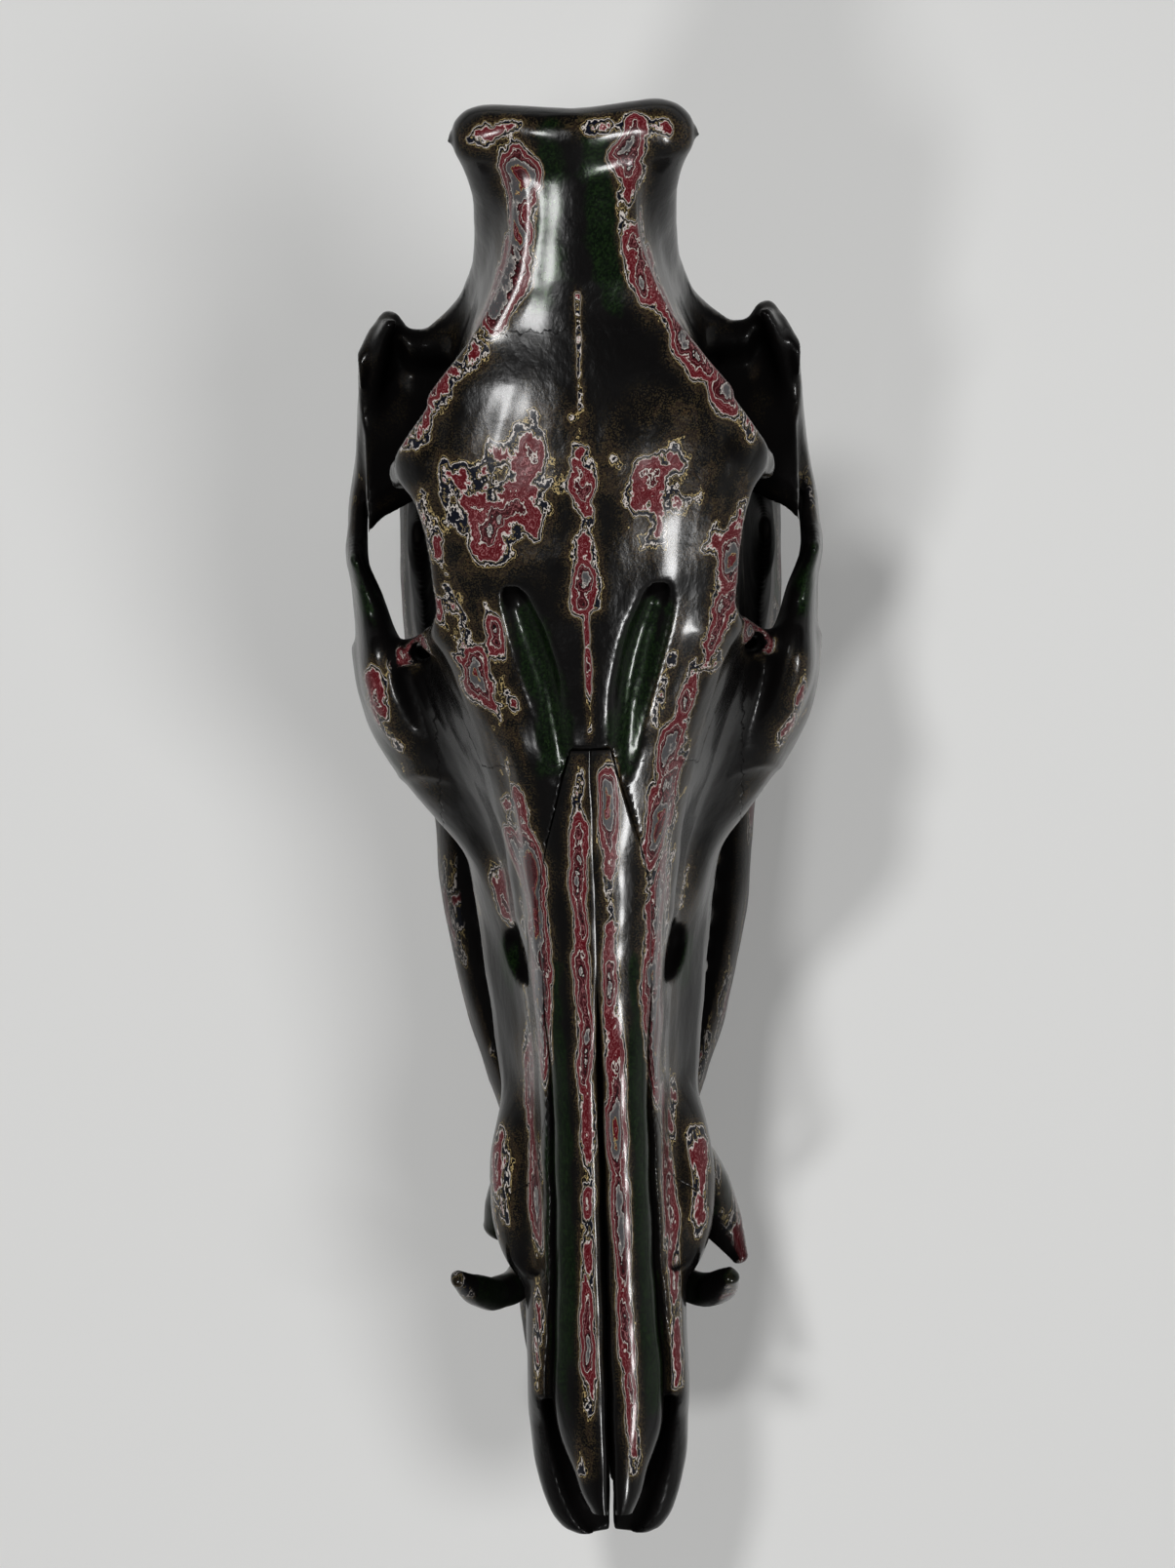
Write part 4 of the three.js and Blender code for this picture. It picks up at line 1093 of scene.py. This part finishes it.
class Nodes:
    """Adds nodes to one shader tree and links them."""

    def __init__(self, tree):
        self.tree, self.link = tree, tree.links.new

    def feed(self, socket, value):
        """Gives a socket a plain value, or a link from another socket."""
        if isinstance(value, bpy.types.NodeSocket):
            self.link(value, socket)
        else:
            socket.default_value = value

    def add(self, kind, inputs=None):
        made = self.tree.nodes.new(f"ShaderNode{kind}")
        for word, value in (inputs or {}).items():
            self.feed(made.inputs[word], value)
        return made

    def math(self, operation, *values):
        made = self.add("Math")
        made.operation = operation
        for socket, value in zip(made.inputs, values):
            self.feed(socket, value)
        return made.outputs[0]

    def plus(self, a, b):
        return self.math("ADD", a, b)

    def times(self, a, b):
        return self.math("MULTIPLY", a, b)

    def swing(self, value, amount):
        """A noise's swing to both sides of its middle."""
        return self.times(self.math("SUBTRACT", value, 0.5), amount)

    def rising(self, value, low, high):
        spread = self.add("MapRange", {"Value": value, "From Min": low, "From Max": high})
        spread.interpolation_type = "SMOOTHSTEP"
        return spread.outputs[0]

    def attribute(self, word, output="Fac"):
        made = self.add("Attribute")
        made.attribute_name = word
        return made.outputs[output]

    def noise(self, where, scale, detail, distortion=0.0):
        texture = self.add("TexNoise", {"Vector": where, "Scale": scale, "Detail": detail, "Roughness": 0.55})
        texture.inputs["Distortion"].default_value = distortion
        return texture.outputs["Fac"]

    def mixed(self, share, below, above):
        mix = self.add("Mix")
        mix.data_type = "RGBA"
        for word, value in (("Factor", share), ("A", below), ("B", above)):
            self.feed(mix.inputs[word], (*value, 1) if isinstance(value, tuple) else value)
        return mix.outputs["Result"]

    def ramp(self, value, stops, interpolation="LINEAR"):
        """A colour for each value, from (place, colour) stops."""
        made = self.add("ValToRGB")
        made.color_ramp.interpolation = interpolation
        elements = made.color_ramp.elements
        while len(elements) < len(stops):
            elements.new(0.5)
        for element, (position, colour) in zip(elements, stops):
            element.position = position
            element.color = (*colour, 1)
        self.link(value, made.inputs[0])
        return made.outputs[0]


BLACK, BLUE_BLACK, BROWN_BLACK = (0.0025, 0.0022, 0.0022), (0.004, 0.005, 0.010), (0.014, 0.009, 0.006)
BROWN, OLIVE = (0.028, 0.016, 0.008), (0.060, 0.043, 0.019)
CREAM, WHITE, PINK = (0.36, 0.27, 0.12), (0.50, 0.455, 0.42), (0.25, 0.09, 0.095)
CRIMSON, WINE = (0.078, 0.004, 0.007), (0.036, 0.003, 0.005)
PALE_GREY, GREY = (0.15, 0.145, 0.14), (0.06, 0.06, 0.063)
LAYERS = [
    (0.000, BLACK), (0.285, BROWN_BLACK), (0.325, BLACK), (0.340, BROWN), (0.352, BLACK), (0.372, CREAM),
    (0.381, BLACK), (0.395, OLIVE), (0.401, WHITE), (0.411, BLUE_BLACK), (0.446, CREAM), (0.452, BLUE_BLACK),
    (0.463, WHITE), (0.474, PINK), (0.484, CRIMSON), (0.513, PINK), (0.519, CRIMSON), (0.553, PINK),
    (0.559, CRIMSON), (0.585, WHITE), (0.595, WINE), (0.630, PINK), (0.637, WINE), (0.670, BLACK),
    (0.685, WHITE), (0.695, PALE_GREY), (0.715, GREY), (0.800, CREAM), (0.808, CRIMSON), (0.850, PINK),
    (0.857, WINE),
]

# Scale, detail and amount of each noise
NOISE_LAYERS = [(60, 1, 1.15), (170, 1.5, 0.8), (700, 2, 0.2), (1900, 1, 0.07)]
NOISE_DISTORTION = 0.3
RUB_DEPTH, LEAST_DEPTH = 0.60, 0.04
STILL_SHARE = 0.3
FLAKE_DEPTH, CREAM_DEPTH, RED_DEPTH = 0.34, 0.372, 0.484
SPECK_SCALE = FLAKE_SCALE = 2600
RED_SPECKS, BROWN_SPECKS = 0.15, 0.6
FLAKE_COLOURS = [(0.35, (0.002, 0.005, 0.002)), (0.95, (0.010, 0.024, 0.006))]
FLAKE_RAGGED = 1.4
FLAKE_METAL = 0.35
RIPPLE_HEIGHT, SPECK_HEIGHT = 3.5, 0.12

# Each value in a deep hollow, and what an open place adds to it; the weaker shine in hollows is painted shade
SHINE_BY_OPENNESS = {"Roughness": (0.55, -0.3), "Specular IOR Level": (0.03, 0.13), "Coat Weight": (0, 0.27)}
COAT_ROUGHNESS = 0.12


def rubbed_depth(nodes, textures):
    """How deep the layers are cut: more on rubbed places, and unsettled by noise."""
    rubbed = nodes.attribute("rubbed")
    unrest = 0
    for texture, (_, _, amount) in zip(textures, NOISE_LAYERS):
        unrest = nodes.plus(nodes.swing(texture, amount), unrest)
    share = nodes.plus(nodes.times(rubbed, 1 - STILL_SHARE), STILL_SHARE)
    depth = nodes.plus(nodes.times(unrest, share), nodes.times(rubbed, RUB_DEPTH))
    return nodes.plus(depth, LEAST_DEPTH)


def layered_paint(nodes, depth, specks):
    """The colour of the layer that a place is cut down to, with pink and olive specks."""
    red = nodes.times(nodes.rising(specks, 0.56, 0.64), nodes.math("GREATER_THAN", depth, RED_DEPTH))
    brown = nodes.times(nodes.rising(specks, 0.52, 0.58), nodes.rising(depth, 0.1, 0.36))
    brown = nodes.times(brown, nodes.math("LESS_THAN", depth, CREAM_DEPTH))
    paint = nodes.mixed(nodes.times(red, RED_SPECKS), nodes.ramp(depth, LAYERS, "CONSTANT"), PINK)
    paint = nodes.mixed(nodes.times(brown, BROWN_SPECKS), paint, OLIVE)
    # Low bold mixes the paint to black: less pattern on the sides, and painted shade in hollows.
    return nodes.mixed(nodes.attribute("bold"), BLACK, paint)


def lacquer(name, flake_everywhere=0.0):
    """Black gloss lacquer, rubbed through to rings of red, white and cream, with green flake in hollows."""
    material = bpy.data.materials.new(name)
    material.use_nodes = True
    material.node_tree.nodes.clear()
    nodes = Nodes(material.node_tree)
    place = nodes.add("TexCoord").outputs["Object"]
    flow = nodes.attribute("flow", "Vector")
    textures = [nodes.noise(flow, scale, detail, NOISE_DISTORTION) for scale, detail, _ in NOISE_LAYERS]
    specks = nodes.noise(place, SPECK_SCALE, 1)
    depth = rubbed_depth(nodes, textures)
    ragged = nodes.plus(nodes.attribute("flaked"), nodes.swing(textures[1], FLAKE_RAGGED))
    patch = nodes.math("MAXIMUM", nodes.rising(ragged, 0.35, 0.75), flake_everywhere)
    patch = nodes.times(patch, nodes.math("LESS_THAN", depth, FLAKE_DEPTH))
    glitter = nodes.add("TexVoronoi", {"Scale": FLAKE_SCALE, "Vector": place}).outputs["Color"]
    ripples = nodes.math("MULTIPLY_ADD", textures[1], RIPPLE_HEIGHT, textures[2])
    height = nodes.math("MULTIPLY_ADD", specks, SPECK_HEIGHT, ripples)
    # Less specular and coat in hollows: painted shade.
    open_unshaded = nodes.attribute("open_unshaded")
    inputs = {word: nodes.math("MULTIPLY_ADD", open_unshaded, more, hollow_value) for word, (hollow_value, more) in SHINE_BY_OPENNESS.items()}
    paint = layered_paint(nodes, depth, specks)
    inputs["Base Color"] = nodes.mixed(patch, paint, nodes.ramp(glitter, FLAKE_COLOURS))
    inputs["Metallic"] = nodes.times(patch, FLAKE_METAL)
    inputs["Coat Roughness"] = COAT_ROUGHNESS
    inputs["Normal"] = nodes.add("Bump", {"Strength": 0.25, "Distance": 0.0003, "Height": height}).outputs[0]
    shader = nodes.add("BsdfPrincipled", inputs)
    nodes.link(shader.outputs[0], nodes.add("OutputMaterial").inputs[0])
    return material


# Stage

FLOOR_SIZE = 6
FLOOR_COLOUR = (0.80, 0.80, 0.79, 1)
FLOOR_ROUGHNESS = 0.9
ROOM_COLOURS = [(0, (0.58, 0.58, 0.57)), (0.68, (0.035, 0.035, 0.036))]
ROOM_LEAN = {"X": 0.3, "Y": 0.45}

# Place, target, size and power of each lamp
LAMPS = {
    "window": ((-0.33, -0.40, 1.11), (0, 0.1, 0.15), (0.13, 0.17), 3.2),
    "strip": ((0.50, -0.87, 0.97), (0, -0.05, 0.12), (0.11, 0.2), 4.2),
    "back_lamp": ((-0.24, 0.45, 1.15), (0, 0, 0.1), (0.13, 0.13), 5),
    "side_lamp": ((0.47, -0.1, 1.15), (0, 0, 0.1), (0.4, 0.4), 4.6),
}


def build_stage():
    bpy.ops.mesh.primitive_plane_add(size=FLOOR_SIZE, location=(0, 0, 0))
    floor = bpy.context.object
    floor.name = "floor"
    material = bpy.data.materials.new("floor_paper")
    material.use_nodes = True
    shader = material.node_tree.nodes["Principled BSDF"]
    shader.inputs["Base Color"].default_value = FLOOR_COLOUR
    shader.inputs["Roughness"].default_value = FLOOR_ROUGHNESS
    floor.data.materials.append(material)


def area_light(name, place, target, size, power):
    data = bpy.data.lights.new(name, "AREA")
    data.shape = "ELLIPSE"
    data.size, data.size_y = size
    data.energy = power
    lamp = new_object(name, data)
    lamp.location = place
    way = np.array(target) - np.array(place)
    lamp.rotation_euler = Vector(way).to_track_quat("-Z", "Y").to_euler()
    return lamp


def build_lights():
    """A room that is dim overhead, a window, a strip that only shines, and two lamps that never shine."""
    world = bpy.data.worlds.new("studio")
    world.use_nodes = True
    nodes = Nodes(world.node_tree)
    way = nodes.add("SeparateXYZ", {"Vector": nodes.add("TexCoord").outputs["Generated"]}).outputs
    lean = nodes.math("MULTIPLY_ADD", way["Y"], ROOM_LEAN["Y"], nodes.times(way["X"], ROOM_LEAN["X"]))
    background = world.node_tree.nodes["Background"]
    nodes.link(nodes.ramp(way["Z"], ROOM_COLOURS), background.inputs["Color"])
    nodes.link(nodes.plus(lean, 1.0), background.inputs["Strength"])
    scene = bpy.context.scene
    scene.world = world
    scene.view_settings.view_transform = "Standard"
    lamps = {name: area_light(name, *values) for name, values in LAMPS.items()}
    lamps["strip"].visible_diffuse = False
    for name in ("back_lamp", "side_lamp"):
        lamps[name].visible_glossy = False


CAMERA_HEIGHT = 0.800
CAMERA_PLACE = (-0.00085, 0.0223)
CAMERA_ROLL = math.atan(0.029)
FOCAL_PIXELS = 2960
IMAGE_HEIGHT = 1608
SENSOR_HEIGHT = 36


def build_camera():
    data = bpy.data.cameras.new("camera")
    data.sensor_fit = "VERTICAL"
    data.sensor_height = SENSOR_HEIGHT
    data.lens = SENSOR_HEIGHT * FOCAL_PIXELS / IMAGE_HEIGHT
    data.clip_start = 0.01
    camera = new_object("camera", data)
    camera.location = (*CAMERA_PLACE, CAMERA_HEIGHT)
    camera.rotation_euler = (0, 0, -CAMERA_ROLL)
    bpy.context.scene.camera = camera


# The model

TUSK_FLAKE = 0.35
SHARP_ANGLE = math.radians(50)


def build_skull():
    """Makes every piece, paints it, hangs it under the root body and hides the solid it stands for."""
    finishes = {"bone_lacquer": lacquer("bone_lacquer"), "tusk_lacquer": lacquer("tusk_lacquer", TUSK_FLAKE)}
    fields = [cranium_field(), jaw_field()]
    pieces = part_cranium(make_mesh("cranium", *fields[0].mesh()))
    jaw = make_mesh("jaw", *fields[1].mesh())
    jaw_turn = (Matrix.Translation((0, JAW_PIVOT_Y * MM, 0)) @ Matrix.Rotation(JAW_SWING, 4, "Z")
                @ Matrix.Translation((0, -JAW_PIVOT_Y * MM, 0)))
    for word, side in SIDES.items():
        pieces[f"nasal_{word}"] = make_mesh("nasal", *nasal_bone(side))
        pieces[f"tusk_upper_{word}"] = make_mesh("tusk", *upper_tusk(word))
        pieces[f"tusk_lower_{word}"] = make_mesh("tusk", *lower_tusk(word))
        pieces[f"mandible_{word}"] = part_of(jaw, side_space(side, SEAM / 2))
        for moved in ("tusk_lower", "mandible"):
            pieces[f"{moved}_{word}"].data.transform(jaw_turn)
    bpy.data.objects.remove(jaw)
    for name, made in pieces.items():
        made.name = f"{name}_lacquered"
        uneven(made.data)
        slot = "tusk_lacquer" if name.startswith("tusk") else "bone_lacquer"
        paint_depths(made, fields)
        made.data.set_sharp_from_angle(angle=SHARP_ANGLE)
        made.data.materials.clear()
        made.data.materials.append(finishes[slot])
        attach(made, "root")
        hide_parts(name)


build_skull()
build_stage()
build_lights()
build_camera()
